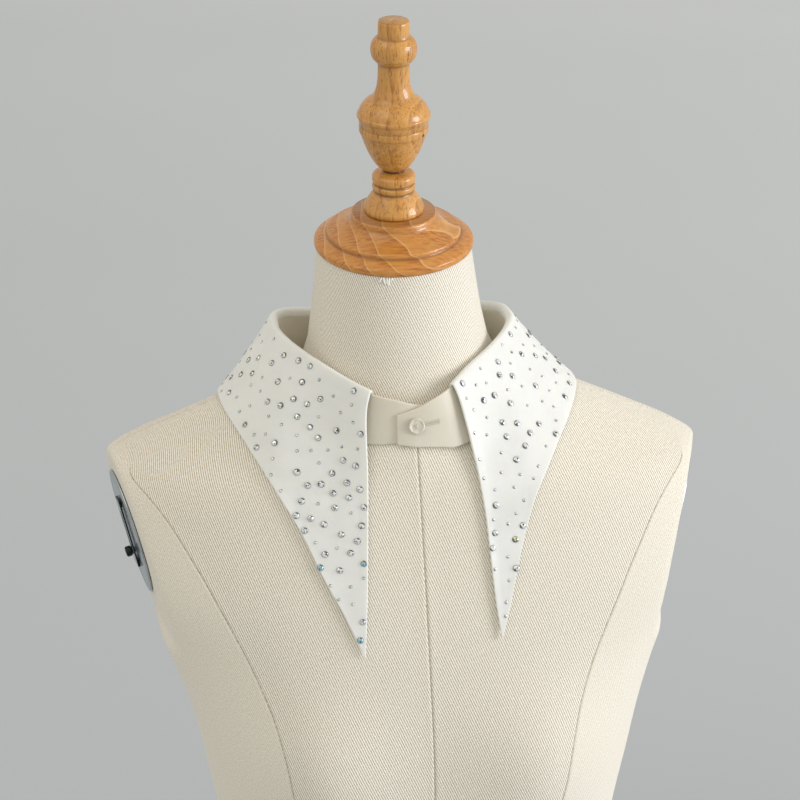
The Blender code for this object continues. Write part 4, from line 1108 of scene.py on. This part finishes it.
def print_cut(name, grid):
    """Lengths of the sewn piece: both long edges, and its depth at the ends and the middle."""
    along, depth = lengths_along(grid, 0)[-1] / MM, lengths_along(grid, 1)[:, -1] / MM
    middle = len(depth) // 2
    area = np.linalg.norm(np.cross(np.gradient(grid, axis=0), np.gradient(grid, axis=1)), axis=2).sum()
    print(name, "upper edge %.0f, lower edge %.0f," % (along[0], along[-1]), "depth %.0f, %.0f, %.0f mm,"
          % (depth[0], depth[middle], depth[-1]), "area %.4f m2" % area)


# %% The stand
STAND_COLUMNS, STAND_ROWS = 84, 3
SEAM_REACH, SEAM_REACH_ENDS = 0.9 * MM, (0.9, 0.97)     # up under the leaf, and where that ends
STAND_SLACK, LEAF_SLACK = 0.1 * MM, 0.2 * MM            # off each wall, as the allowance adds to it


def make_stand():
    shares = np.linspace(STAND_UNDER_END, STAND_OVER_END, STAND_COLUMNS + 1)
    middle = []
    for share in shares:
        foot, head = stand_section(torso_tree, share)
        head += (head - foot).normalized() * SEAM_REACH * (1 - smooth_step(*SEAM_REACH_ENDS, abs(share)))
        middle.append([tuple(head.lerp(foot, i / STAND_ROWS)) for i in range(STAND_ROWS + 1)])
    grid = refined(np.array(middle), places(STAND_COLUMNS, 3))
    grid = refined(grid.swapaxes(0, 1), places(STAND_ROWS, 5)).swapaxes(0, 1)
    outward = way_outward(grid, 0)
    stand, _ = cloth_wall("stand_cloth", grid, outward, STAND_WALL - STAND_SLACK, shaded_stand_cotton)
    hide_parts("collar_stand")
    print_cut("stand", grid)
    return stand


stand = make_stand()


# %% The leaf
def make_leaf():
    coarse = draped_leaf((torso_tree, stand_tree))
    grid = refined(coarse, places(LEAF_COLUMNS, 4))
    grid = refined(grid.swapaxes(0, 1), places(coarse.shape[1] - 1, 3)).swapaxes(0, 1)
    first_row = int(grid.shape[1] * (FOLD_STEPS + 1) / (coarse.shape[1] - 1))
    outward = way_outward(grid, first_row)
    grid = creased(grid, outward, LEAF_CREASES, first_row)
    leaf, outer = cloth_wall("leaf_cloth", grid, outward, LEAF_WALL - LEAF_SLACK, leaf_cotton)
    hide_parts("collar_leaf")
    print_cut("leaf", grid)
    return outer, outward, first_row


leaf_face, leaf_out, leaf_first = make_leaf()

# %% [markdown]
# ## Rhinestones
# Flat-backed stones, 4.1 and 2.0 mm across, are scattered over the leaf. Each is a faceted crystal
# on a silver foil back. Clear glass would need many light bounces to look right at this size, so each
# facet is drawn opaque: partly metal, for the foil seen through it, under a clear coat, for
# the glass. The thin ring of the rim round each stone is painted dark grey, a painted reflection of
# the dark that the foil mirrors at its steep edge. Facets turned from the light are a darker grey:
# painted shade. One upper facet of each stone is painted nearly black, a painted reflection of a dark
# corner, and some clear stones have two. A few stones are tinted.

# %% Stone materials
STONE_TONES = [
    # name, colour, roughness, metallic
    # the foil rim's dark grey and the nearly black facet are painted reflections, the turned facet's grey
    # is painted shade
    ("foiled crystal", "#F1F4F4", 0.14, 0.3), ("foil rim", "#74797C", 0.35, 0.7),
    ("turned facet", "#73797C", 0.15, 0.8), ("painted dark reflection", "#0E1012", 0.3, 0.3),
    ("foiled aqua crystal", "#A4CFDB", 0.14, 0.4), ("foiled peridot crystal", "#DCE2A0", 0.14, 0.4),
]
CRYSTAL, RIM, TURNED, DARK_REFLECTION, AQUA, PERIDOT = range(6)
FACET_SHIFT, FACET_CELLS = 0.14, 1300.0             # how far colour drifts over a stone, and how finely


def make_stone_materials():
    made = []
    for name, code, rough, metal in STONE_TONES:
        stone, tree, surface = new_material(name, Metallic=metal, Roughness=rough, Coat_Weight=1.0,
                                            Coat_Roughness=0.02)
        place = add_node(tree, "TexCoord").outputs["Object"]
        cells = add_node(tree, "TexVoronoi", {"Vector": place, "Scale": FACET_CELLS}).outputs["Color"]
        shift = add_node(tree, "Mix", {0: FACET_SHIFT, 6: colour(code), 7: cells}, data_type="RGBA",
                         blend_type="MULTIPLY").outputs[2]
        tree.links.new(shift, surface.inputs["Base Color"])
        made.append(stone)
    return made


stone_materials = make_stone_materials()
print("stone materials:", [made.name for made in stone_materials])

# %% [markdown]
# ## Where the stones lie
# Stones set by hand lie loosely: no rows, but no two far apart or touching either. Places are tried at
# random over the leaf's outer face, each as often as its share of the area. A place is kept only if
# no stone is nearer than a distance that is drawn again for each. Large and small stones tend to
# alternate.

# %% Places of the stones
STONE_SIZES = (4.1 * MM, 2.0 * MM)                  # large, small
LARGE_SHARE, LARGE_SHIFT = 0.5, 0.2                 # chance of a large stone, less after a large one
STONE_SPACING = (7.8 * MM, 10.6 * MM)               # least distance between middles, from and to
STONE_MARGIN = 3.4 * MM                             # from the edge of the leaf to a stone's middle
STONE_TRIES, SCATTER_SEED = 9000, 31


def scatter_stones(face, outward, first_row):
    """Uneven places on the leaf's outer face: (point, way out, along, diameter)."""
    across, down = lengths_along(face, 0), lengths_along(face, 1)
    rim = np.minimum(across, across[-1:] - across)
    rim = np.minimum(rim, down[:, -1:] - down)
    rim = np.minimum(rim, down - down[:, first_row:first_row + 1])
    cell = np.linalg.norm(np.cross(np.gradient(face, axis=0), np.gradient(face, axis=1)), axis=2)
    cell = np.where(rim > STONE_MARGIN, cell, 0.0).ravel()
    pick = np.random.default_rng(SCATTER_SEED)
    found, was_large = [], False
    for n in pick.choice(cell.size, STONE_TRIES, p=cell / cell.sum()):
        i, j = divmod(int(n), face.shape[1])
        point = face[i, j]
        apart = pick.uniform(*STONE_SPACING)
        if found and min(np.linalg.norm(point - other[0]) for other in found) < apart:
            continue
        was_large = pick.random() < (LARGE_SHARE - LARGE_SHIFT if was_large else LARGE_SHARE + LARGE_SHIFT)
        along = face[min(i + 1, len(face) - 1), j] - face[max(i - 1, 0), j]
        found.append((point, outward[i, j], along, STONE_SIZES[0 if was_large else 1]))
    return found


stone_places = scatter_stones(leaf_face, leaf_out, leaf_first)
print("places for", len(stone_places), "stones")

# %% [markdown]
# ## The stones' facets
# A stone is rings of points, from its back up to its flat table, joined by triangles: one row of
# facets round the girdle, one above it, and the table. Flat shading keeps each facet a plane. Which
# facets are grey follows the light for most, and chance for a few.

# %% Facets of one stone
STONE_SIDES = 8
# Rings of a stone: share of its radius, height as a share of its radius, turn in steps, sides
STONE_RINGS = [(1.0, 0.0, 0.0, 16), (0.98, 0.13, 0.0, 16), (0.88, 0.17, 0.0, 16), (0.60, 0.37, 0.5, 8),
               (0.38, 0.43, 0.0, 8)]
STONE_LIFT = 0.02 * MM                              # off the cloth
TURNED_WAY = Vector((-0.8, -0.2, -0.55))            # facets that face this way look away from the light
TURNED_SPREAD = 0.5, 1.3                            # how far to each side of that they go, in radians
ODD_OUTER, ODD_INNER = 0.08, 0.12                   # shares of facets that are dark by chance
TWO_BLACK_SHARE = 0.16                              # of the clear stones, others have one black facet
TINTED_SHARE, TINTED_BELOW = 0.2, 0.475             # of the large stones lower than this


def stone_facets(first, tone, way):
    """Faces of one stone and the tone of each; `way` gives the angle that its turned facets face."""
    wide, sides = 2 * STONE_SIDES, STONE_SIDES
    base, lip, girdle, crown, table, middle = [
        first + sum(ring[3] for ring in STONE_RINGS[:n]) for n in range(len(STONE_RINGS) + 1)]
    faces = [tuple(base + k for k in reversed(range(wide)))]
    tones = [RIM]
    for low, high in ((base, lip), (lip, girdle)):
        faces += [(low + k, low + (k + 1) % wide, high + (k + 1) % wide, high + k) for k in range(wide)]
        tones += [RIM] * wide
    # painted reflection: one facet of each stone, two on some clear stones, painted nearly black
    darkened = [0]
    if tone == CRYSTAL and random.random() < TWO_BLACK_SHARE:
        black = random.randrange(sides)
        darkened = [black, (black + 1) % sides]
    for k in range(sides):
        m = (k + 1) % sides
        turned = abs((2 * math.pi * (k + 0.5) / sides - way + math.pi) % (2 * math.pi) - math.pi)
        is_turned = turned < random.uniform(*TURNED_SPREAD)
        outer = TURNED if is_turned or random.random() < ODD_OUTER else tone
        inner = TURNED if random.random() < ODD_INNER else tone
        faces += [(girdle + 2 * k, girdle + 2 * k + 1, crown + k),
                  (girdle + 2 * k + 1, girdle + (2 * k + 2) % wide, crown + k),
                  (girdle + (2 * k + 2) % wide, crown + m, crown + k)]
        tones += [outer, outer, outer]
        faces += [(crown + k, crown + m, table + m), (crown + k, table + m, table + k),
                  (table + k, table + m, middle)]
        tones += [inner, inner, inner]
        if k in darkened:
            tones[-3:] = [DARK_REFLECTION] * 3
    return faces, tones


# %% All the stones
def make_stones(name, found, materials):
    points, faces, slots = [], [], []
    for point, out, along, size in found:
        point, out = Vector(point), Vector(out)
        x_way = Vector(along).normalized()
        y_way = out.cross(x_way).normalized()
        spin, radius = random.uniform(0, math.pi), size / 2 * random.uniform(0.95, 1.05)
        tone = CRYSTAL
        if size == STONE_SIZES[0] and point.z < TINTED_BELOW and random.random() < TINTED_SHARE:
            tone = AQUA if point.x < 0 else PERIDOT
        away = TURNED_WAY if point.x > 0 else -TURNED_WAY
        way = math.atan2(away.dot(y_way), away.dot(x_way)) - spin
        first = len(points)
        for share, high, turn, sides in STONE_RINGS:
            for k in range(sides):
                a = spin + 2 * math.pi * (k + turn) / sides
                flat = x_way * math.cos(a) + y_way * math.sin(a)
                points.append(point + flat * radius * share + out * (radius * high + STONE_LIFT))
        points.append(point + out * (radius * STONE_RINGS[-1][1] + STONE_LIFT))
        some_faces, some_tones = stone_facets(first, tone, way)
        faces += some_faces
        slots += some_tones
    stones = add_mesh(name, points, faces, materials, smooth=False)
    stones.data.polygons.foreach_set("material_index", slots)
    print(name, len(found), "stones,", len(faces), "faces")


for side, word in ((-1, "right"), (1, "left")):
    half = [place for place in stone_places if place[0][0] * side > 0]
    make_stones("rhinestones_" + word, half, stone_materials)

# %% [markdown]
# ## Threads
# Stitches are real thread here, not a painted line, because a thread catches light on one side and
# shades the cloth on the other. A thread is a tube swept along a few points, and many threads are
# joined as one mesh. Sewing thread is mercerised cotton: glossier than the cloth, with a fine twist.

# %% Tubes
def tube_points(path, radius, sides=6):
    """Rings of points round a path of points."""
    rings = []
    for n, place in enumerate(path):
        way = (path[min(n + 1, len(path) - 1)] - path[max(n - 1, 0)]).normalized()
        side = way.orthogonal().normalized()
        up = way.cross(side)
        wide = radius[n] if isinstance(radius, list) else radius
        rings.append([place + (side * math.cos(2 * math.pi * k / sides)
                               + up * math.sin(2 * math.pi * k / sides)) * wide for k in range(sides)])
    return rings


def make_tubes(name, paths, radius, made):
    """Many threads as one joined mesh."""
    points, faces = [], []
    for path in paths:
        rings = tube_points(path, radius)
        sides, first = len(rings[0]), len(points)
        points += [p for ring in rings for p in ring]
        faces += grid_faces(len(rings), sides, first, closed=True)
        faces.append(tuple(first + k for k in reversed(range(sides))))
        faces.append(tuple(first + (len(rings) - 1) * sides + k for k in range(sides)))
    obj = add_mesh(name, points, faces, [made])
    return obj


# %% Mercerised cotton thread
def make_thread(name, shades):
    thread, tree, surface = new_material(name, Roughness=0.45, Sheen_Weight=0.3)
    place = add_node(tree, "TexCoord").outputs["Object"]
    twist = add_node(tree, "TexWave", {"Vector": place, "Scale": 900.0, "Distortion": 1.0},
                     bands_direction="DIAGONAL").outputs["Fac"]
    tint = add_node(tree, "ValToRGB", {"Fac": twist}, stops=[(0.0, shades[0]), (1.0, shades[1])])
    tree.links.new(tint.outputs["Color"], surface.inputs["Base Color"])
    bump = add_node(tree, "Bump", {"Height": twist, "Strength": 0.3, "Distance": 0.05 * MM})
    tree.links.new(bump.outputs["Normal"], surface.inputs["Normal"])
    return thread


# painted shade: the white sewing thread is drawn in the stand's shaded cream
sewing_thread = make_thread("sewing thread in painted shade", ("#CFC8B8", "#E0DACB"))
print("thread:", sewing_thread.name)

# %% [markdown]
# ## The shell button
# The button is a 10 mm shirt button, turned from shell and sewn on through four holes. Shell is
# layered lime, with faint cloudy bands and a soft polish. Its ground is painted a darker cream, as
# painted shade, nearly as pale as the stand's shaded cloth. The button is a profile swept round, and its
# holes are drawn as raised rims under the thread.

# %% Shell, its cream painted in shade
def make_shell():
    shell, tree, surface = new_material("shell in painted shade", Roughness=0.28, Coat_Weight=0.3,
                                        Coat_Roughness=0.15)
    place = add_node(tree, "TexCoord").outputs["Object"]
    bands = add_node(tree, "TexWave", {"Vector": place, "Scale": 70.0, "Distortion": 9.0,
                                       "Detail": 3.0}).outputs["Fac"]
    # painted shade: the shell's ground is darkened to the stand's shaded tone
    tint = add_node(tree, "ValToRGB", {"Fac": bands}, stops=[(0.0, "#D0CABB"), (1.0, "#E0DBCE")])
    tree.links.new(tint.outputs["Color"], surface.inputs["Base Color"])
    bump = add_node(tree, "Bump", {"Height": bands, "Strength": 0.1, "Distance": 0.05 * MM})
    tree.links.new(bump.outputs["Normal"], surface.inputs["Normal"])
    return shell


# %% Button
BUTTON_PLACE = Vector((6.01, -73.78, 545.2)) * MM
BUTTON_OUT = Vector((0.04525, -0.97423, 0.22098)).normalized()
# The button's profile: (height over its place, radius), in millimetres
BUTTON_PROFILE = [(-1.8, 1.0), (0.3, 1.0), (0.3, 3.9), (0.45, 4.5), (0.8, 4.9), (1.3, 5.0), (1.75, 4.95),
                  (2.1, 4.7), (2.25, 4.35), (2.15, 3.95), (1.9, 3.6), (1.8, 3.2), (1.78, 2.2), (1.78, 0.8)]
BUTTON_SIDES, BUTTON_TURN, BUTTON_EDGE = 64, math.radians(20), math.radians(60)
HOLE_PLACE, HOLE_RADIUS, HOLE_HEIGHT = 1.15 * MM, 0.55 * MM, 1.79 * MM
RIM_SIDES, RIM_RADIUS = 12, 0.09 * MM
STRAND_RADIUS, STRAND_GAP, STRAND_STEPS = 0.17 * MM, 0.26 * MM, 8
STRAND_RISE, STRAND_SINK = 0.5, 0.12                # of its middle and its ends, in millimetres


def button_frame():
    up = (Vector((0, 0, 1)) - BUTTON_OUT * BUTTON_OUT.z).normalized()
    seat = Matrix((up.cross(BUTTON_OUT), up, BUTTON_OUT)).transposed().to_4x4()
    seat.translation = BUTTON_PLACE
    return seat


def strand_path(seat, a, b, aside):
    """One strand from hole a to hole b, bowed up a little, and moved aside from the middle one."""
    side = Vector((a.y - b.y, b.x - a.x, 0)).normalized() * aside * STRAND_GAP
    path = []
    for n in range(STRAND_STEPS + 1):
        t = n / STRAND_STEPS
        rise = (STRAND_RISE * math.sin(math.pi * t) - STRAND_SINK) * MM
        path.append(seat @ (a.lerp(b, t) + side + Vector((0, 0, rise))))
    return path


def hole_rim(seat, hole):
    """The closed path round one hole."""
    angles = [2 * math.pi * k / RIM_SIDES for k in range(RIM_SIDES + 1)]
    return [seat @ (hole + Vector((math.cos(a), math.sin(a), 0)) * HOLE_RADIUS) for a in angles]


def make_button(thread, shell):
    seat = button_frame()
    angles = [2 * math.pi * k / BUTTON_SIDES for k in range(BUTTON_SIDES)]
    points = [seat @ Vector((r * math.cos(a) * MM, r * math.sin(a) * MM, h * MM))
              for h, r in BUTTON_PROFILE for a in angles]
    faces = capped_rings(len(BUTTON_PROFILE), BUTTON_SIDES)
    button = add_mesh("shell_button", points, faces, [shell])
    button.data.set_sharp_from_angle(angle=BUTTON_EDGE)
    spin = Matrix.Rotation(BUTTON_TURN, 4, "Z")
    holes = [spin @ Vector((x * HOLE_PLACE, y * HOLE_PLACE, HOLE_HEIGHT)) for x in (-1, 1) for y in (-1, 1)]
    pairs = (holes[0], holes[3]), (holes[1], holes[2])
    strands = [strand_path(seat, a, b, aside) for a, b in pairs for aside in (-1, 0, 1)]
    make_tubes("button_thread", strands, STRAND_RADIUS, thread)
    rims = [hole_rim(seat, hole) for hole in holes]
    edge = make_tubes("button_hole_rims", rims, RIM_RADIUS, shell)
    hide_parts("front_button")
    print("button at", tuple(round(c, 4) for c in BUTTON_PLACE), "with", len(strands), "strands")


make_button(sewing_thread, make_shell())

# %% [markdown]
# ## The buttonhole
# A buttonhole is a slit with its edges bound in close stitches, and here a fan of stitches at its
# far end. Each stitch is a thread of its own. Its points are found by rays cast on to the cloth, so
# the stitches follow the stand's curve.

# %% Buttonhole
BUTTONHOLE_REACH, BUTTONHOLE_TILT = 13.8 * MM, math.radians(8)
BUTTONHOLE_START, SLIT_HALF = 2.2 * MM, 0.16 * MM   # from the button's middle; half the slit's width
BUTTONHOLE_STITCHES, STITCH_LENGTH, STITCH_RADIUS = 46, 1.25 * MM, 0.15 * MM
STITCH_UNEVEN = 0.08                                # millimetres
FAN_STITCHES, FAN_GAP, FAN_STAGGER = 9, 0.3 * MM, 0.25 * MM
NEAR_LIFT, MIDDLE_LIFT, FAR_LIFT = 0.10 * MM, 0.26 * MM, 0.02 * MM      # off the cloth
# Along each stitch of the fan: place and lift
FAN_POINTS = [(-0.4 * MM, 0.05 * MM), (0.3 * MM, 0.25 * MM), (1.0 * MM, 0.02 * MM)]
SEARCH_HEIGHT = 8 * MM                              # where rays to the cloth start


def on_cloth(tree, seat, x, y, lift):
    """The point of the stand's outer face over this place of the button's own axes."""
    start = seat @ Vector((x, y, SEARCH_HEIGHT))
    hit, _, _, _ = tree.ray_cast(start, -BUTTON_OUT)
    return hit + BUTTON_OUT * lift


def make_buttonhole(cloth_tree, thread):
    seat = button_frame()
    way = Vector((math.cos(BUTTONHOLE_TILT), math.sin(BUTTONHOLE_TILT)))
    side = Vector((-way.y, way.x))
    stitches = []
    for n in range(BUTTONHOLE_STITCHES):
        share = n / (BUTTONHOLE_STITCHES - 1)
        at = way * (BUTTONHOLE_START + (BUTTONHOLE_REACH - BUTTONHOLE_START) * share)
        for hand in (-1, 1):
            near = at + side * hand * SLIT_HALF
            far = at + side * hand * (STITCH_LENGTH + random.uniform(-STITCH_UNEVEN, STITCH_UNEVEN) * MM)
            middle = (near + far) / 2
            lifts = (near, NEAR_LIFT), (middle, MIDDLE_LIFT), (far, FAR_LIFT)
            stitches.append([on_cloth(cloth_tree, seat, *place, lift) for place, lift in lifts])
    for n in range(FAN_STITCHES):
        at = way * (BUTTONHOLE_REACH + FAN_STAGGER * (n % 3)) + side * (n - FAN_STITCHES // 2) * FAN_GAP
        stitches.append([on_cloth(cloth_tree, seat, *(at + way * along), lift)
                         for along, lift in FAN_POINTS])
    make_tubes("buttonhole_stitches", stitches, STITCH_RADIUS, thread)
    print("buttonhole:", len(stitches), "stitches")


make_buttonhole(tree_of(stand), sewing_thread)

# %% [markdown]
# ## Loose threads under the cap
# The canvas is trimmed by hand under the cap, and a few cut threads hang out at the front. They are
# a small thing, but a form with none looks like a drawing. They are drawn thicker than real thread,
# 1 mm across, because anything finer than a pixel would be lost.

# %% Loose threads
TUFT = [
    # start and end round the neck in degrees from the front, drop of the end, bend, in millimetres
    (-13.5, -15.4, 3.4, 1.2), (-12.5, -11.0, 4.2, 0.8), (-8.2, -9.0, 7.4, 0.6), (-6.2, -8.4, 6.4, -0.7),
    (-9.8, -9.0, 5.2, 0.5),
]
TUFT_STEPS, TUFT_THREAD = 7, 0.5 * MM               # pieces of a thread, and its radius
TUFT_START, TUFT_RADIUS, TUFT_LEAN = -0.1, 49.4, 0.5    # height, distance from the neck's middle, mm


def make_tuft(thread):
    paths = []
    for start, end, drop, bend in TUFT:
        path = []
        for n in range(TUFT_STEPS + 1):
            t = n / TUFT_STEPS
            angle = math.radians(-90 + start + (end - start) * t)
            radius = (TUFT_RADIUS + TUFT_LEAN * t + bend * math.sin(math.pi * t) / 2) * MM
            path.append(NECK_SEAT @ Vector((radius * math.cos(angle), radius * math.sin(angle),
                                            (TUFT_START - drop * t) * MM)))
        paths.append(path)
    make_tubes("thread_tuft", paths, TUFT_THREAD, thread)
    print("tuft of", len(paths), "threads")


make_tuft(make_thread("white cut thread", ("#F4F3EE", "#FFFFFF")))

# %% [markdown]
# ## Arm plates
# Each armhole is closed by an oval steel plate, pressed with a rolled rim and a shallow groove inside
# it. A plate could be an oval disc with a bevel, but the groove is what catches the light, so its
# rows are given one by one. The plate lies on the flat facet that the arm plane cuts off the torso,
# and the facet's own axes are worked out from that plane.

# %% The arm facets
ARM_PLATE_Y, ARM_PLATE_Z = 0.0, NECK_TOP - 191 * MM
PLATE_WIDE, PLATE_HIGH, PLATE_WALL, PLATE_SEAT = 36 * MM, 43 * MM, 1.2 * MM, 0.35 * MM
# Rows of a plate from its back out over the rolled rim to its middle: (inset, height), millimetres.
PLATE_ROWS = [(0.6, 0.0), (0.15, 0.15), (0.0, 0.5), (0.1, 0.9), (0.45, 1.18), (1.0, 1.2), (1.7, 1.12),
              (2.4, 0.85), (3.0, 0.8), (3.6, 0.88), (4.4, 1.1), (5.6, 1.18), (12.0, 1.2)]
PLATE_SIDES, PLATE_EDGE = 96, math.radians(50)


def facet_point(side, y, z):
    """A point of the flat facet that the arm plane cuts on this side (-1 or +1)."""
    x = side * (ARM_PLANE_X - math.tan(ARM_PLANE_LEAN) * (ARM_PLANE_Z - z)
                + math.tan(ARM_PLANE_TURN) * (y - ARM_PLANE_Y))
    shift = float(smooth_through(TORSO_LEVELS[0], TORSO_LEVELS[5], (NECK_TOP - z) / MM)) * MM
    return Vector((x + shift, y, z - SHOULDER_DROP * x / (2 * ARM_PLANE_X)))


def facet_frame(side):
    """The matrix of an arm facet: X towards the front, Y up the facet, Z out of the torso."""
    up = (facet_point(side, ARM_PLATE_Y, ARM_PLATE_Z + PLATE_HIGH)
          - facet_point(side, ARM_PLATE_Y, ARM_PLATE_Z - PLATE_HIGH)).normalized()
    front = (facet_point(side, ARM_PLATE_Y - PLATE_WIDE, ARM_PLATE_Z)
             - facet_point(side, ARM_PLATE_Y + PLATE_WIDE, ARM_PLATE_Z)).normalized()
    out = front.cross(up)
    if out.x * side < 0:
        out.negate()
    matrix = Matrix((up.cross(out), up, out)).transposed().to_4x4()
    matrix.translation = facet_point(side, ARM_PLATE_Y, ARM_PLATE_Z)
    return matrix


# %% Arm plates
def make_plate(side, word, steel):
    seat = facet_frame(side)
    points = []
    for inset, height in PLATE_ROWS:
        for k in range(PLATE_SIDES):
            a = 2 * math.pi * k / PLATE_SIDES
            points.append(seat @ Vector(((PLATE_WIDE - inset * MM) * math.cos(a),
                                         (PLATE_HIGH - inset * MM) * math.sin(a),
                                         PLATE_SEAT + height * MM)))
    faces = capped_rings(len(PLATE_ROWS), PLATE_SIDES)
    plate = add_mesh("steel_plate_" + word, points, faces, [steel])
    plate.data.set_sharp_from_angle(angle=PLATE_EDGE)
    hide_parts("arm_plate_" + word)
    print("plate at", tuple(round(c, 3) for c in seat.translation))


make_plate(-1, "right", plated_steel)
make_plate(1, "left", plated_steel)

# %% [markdown]
# ## Bracket and thumb screw
# The plate on the wearer's right carries a slotted bracket for a detachable arm, and a knurled thumb
# screw that clamps it. Pressed steel has no sharp edges, so the bracket takes the CAD shape and
# bevels every edge sharper than 40 degrees. Where it faces sideways or in, it takes the dark steel as
# painted shade. The screw's knurls are one ring point in four, set back.

# %% The bracket
WELD, FLAT_ANGLE, SHARP_ANGLE = 1e-6, math.radians(1), math.radians(40)
PRESSED_RADIUS, PRESSED_STEPS, BRACKET_EDGE = 0.2 * MM, 3, math.radians(30)
LEAST_OUTWARD = 0.5                 # a face that looks out less than this takes the dark steel, as painted shade


def make_bracket(steel, darker_steel):
    """The CAD bracket with its pressed edges rounded, and dark steel as painted shade where it faces
    sideways or in.
    """
    source = NODES["arm_bracket"].data
    bracket = add_mesh("steel_bracket", [v.co for v in source.vertices],
                       [tuple(p.vertices) for p in source.polygons], [steel, darker_steel])
    shape = bmesh.new()
    shape.from_mesh(bracket.data)
    bmesh.ops.remove_doubles(shape, verts=shape.verts, dist=WELD)
    bmesh.ops.dissolve_limit(shape, angle_limit=FLAT_ANGLE, verts=shape.verts, edges=shape.edges)
    sharp = [edge for edge in shape.edges if edge.calc_face_angle(0) > SHARP_ANGLE]
    bmesh.ops.bevel(shape, geom=sharp, offset=PRESSED_RADIUS, segments=PRESSED_STEPS, affect="EDGES",
                    profile=0.5)
    shape.to_mesh(bracket.data)
    shape.free()
    bracket.data.shade_smooth()
    bracket.data.set_sharp_from_angle(angle=BRACKET_EDGE)
    out = facet_frame(-1).to_3x3() @ Vector((0, 0, 1))
    for face in bracket.data.polygons:
        # painted shade: faces that look out less than LEAST_OUTWARD take the dark steel
        face.material_index = int(face.normal.dot(out) < LEAST_OUTWARD)
    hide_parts("arm_bracket")
    print("bracket:", len(sharp), "edges rounded")


make_bracket(plated_steel, dark_steel_and_shade)

# %% The thumb screw
SCREW_PLACE = -13.4 * MM
# (height above the bracket's foot, radius) in millimetres
SCREW_ROWS = [(0.0, 2.0), (2.2, 2.0), (2.2, 2.5), (2.35, 2.9), (2.7, 2.9), (2.75, 3.3), (3.0, 3.5),
              (5.5, 3.5), (5.9, 3.3), (6.3, 2.9), (6.4, 2.2), (6.25, 1.6), (6.2, 0.9)]
KNURLS, KNURL_DEPTH, KNURL_POINTS = 26, 0.14, 4      # depth in millimetres, points to a knurl
GRIP_FROM, GRIP_TO = 2.9, 6.0                       # heights that are knurled, in millimetres
SCREW_EDGE = math.radians(35)


def make_screw(darker_steel):
    seat = facet_frame(-1) @ Matrix.Translation((0, SCREW_PLACE, PLATE_SEAT + PLATE_WALL + GAP))
    sides = KNURLS * KNURL_POINTS
    points = []
    for height, radius in SCREW_ROWS:
        is_grip = GRIP_FROM < height < GRIP_TO
        for k in range(sides):
            a = 2 * math.pi * k / sides
            r = radius - (KNURL_DEPTH * (k % KNURL_POINTS == 0) if is_grip else 0.0)
            points.append(seat @ Vector((r * math.cos(a) * MM, r * math.sin(a) * MM, height * MM)))
    screw = add_mesh("knurled_screw", points, capped_rings(len(SCREW_ROWS), sides), [darker_steel])
    screw.data.set_sharp_from_angle(angle=SCREW_EDGE)
    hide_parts("arm_screw")
    print("screw with", KNURLS, "knurls")


make_screw(dark_steel_and_shade)
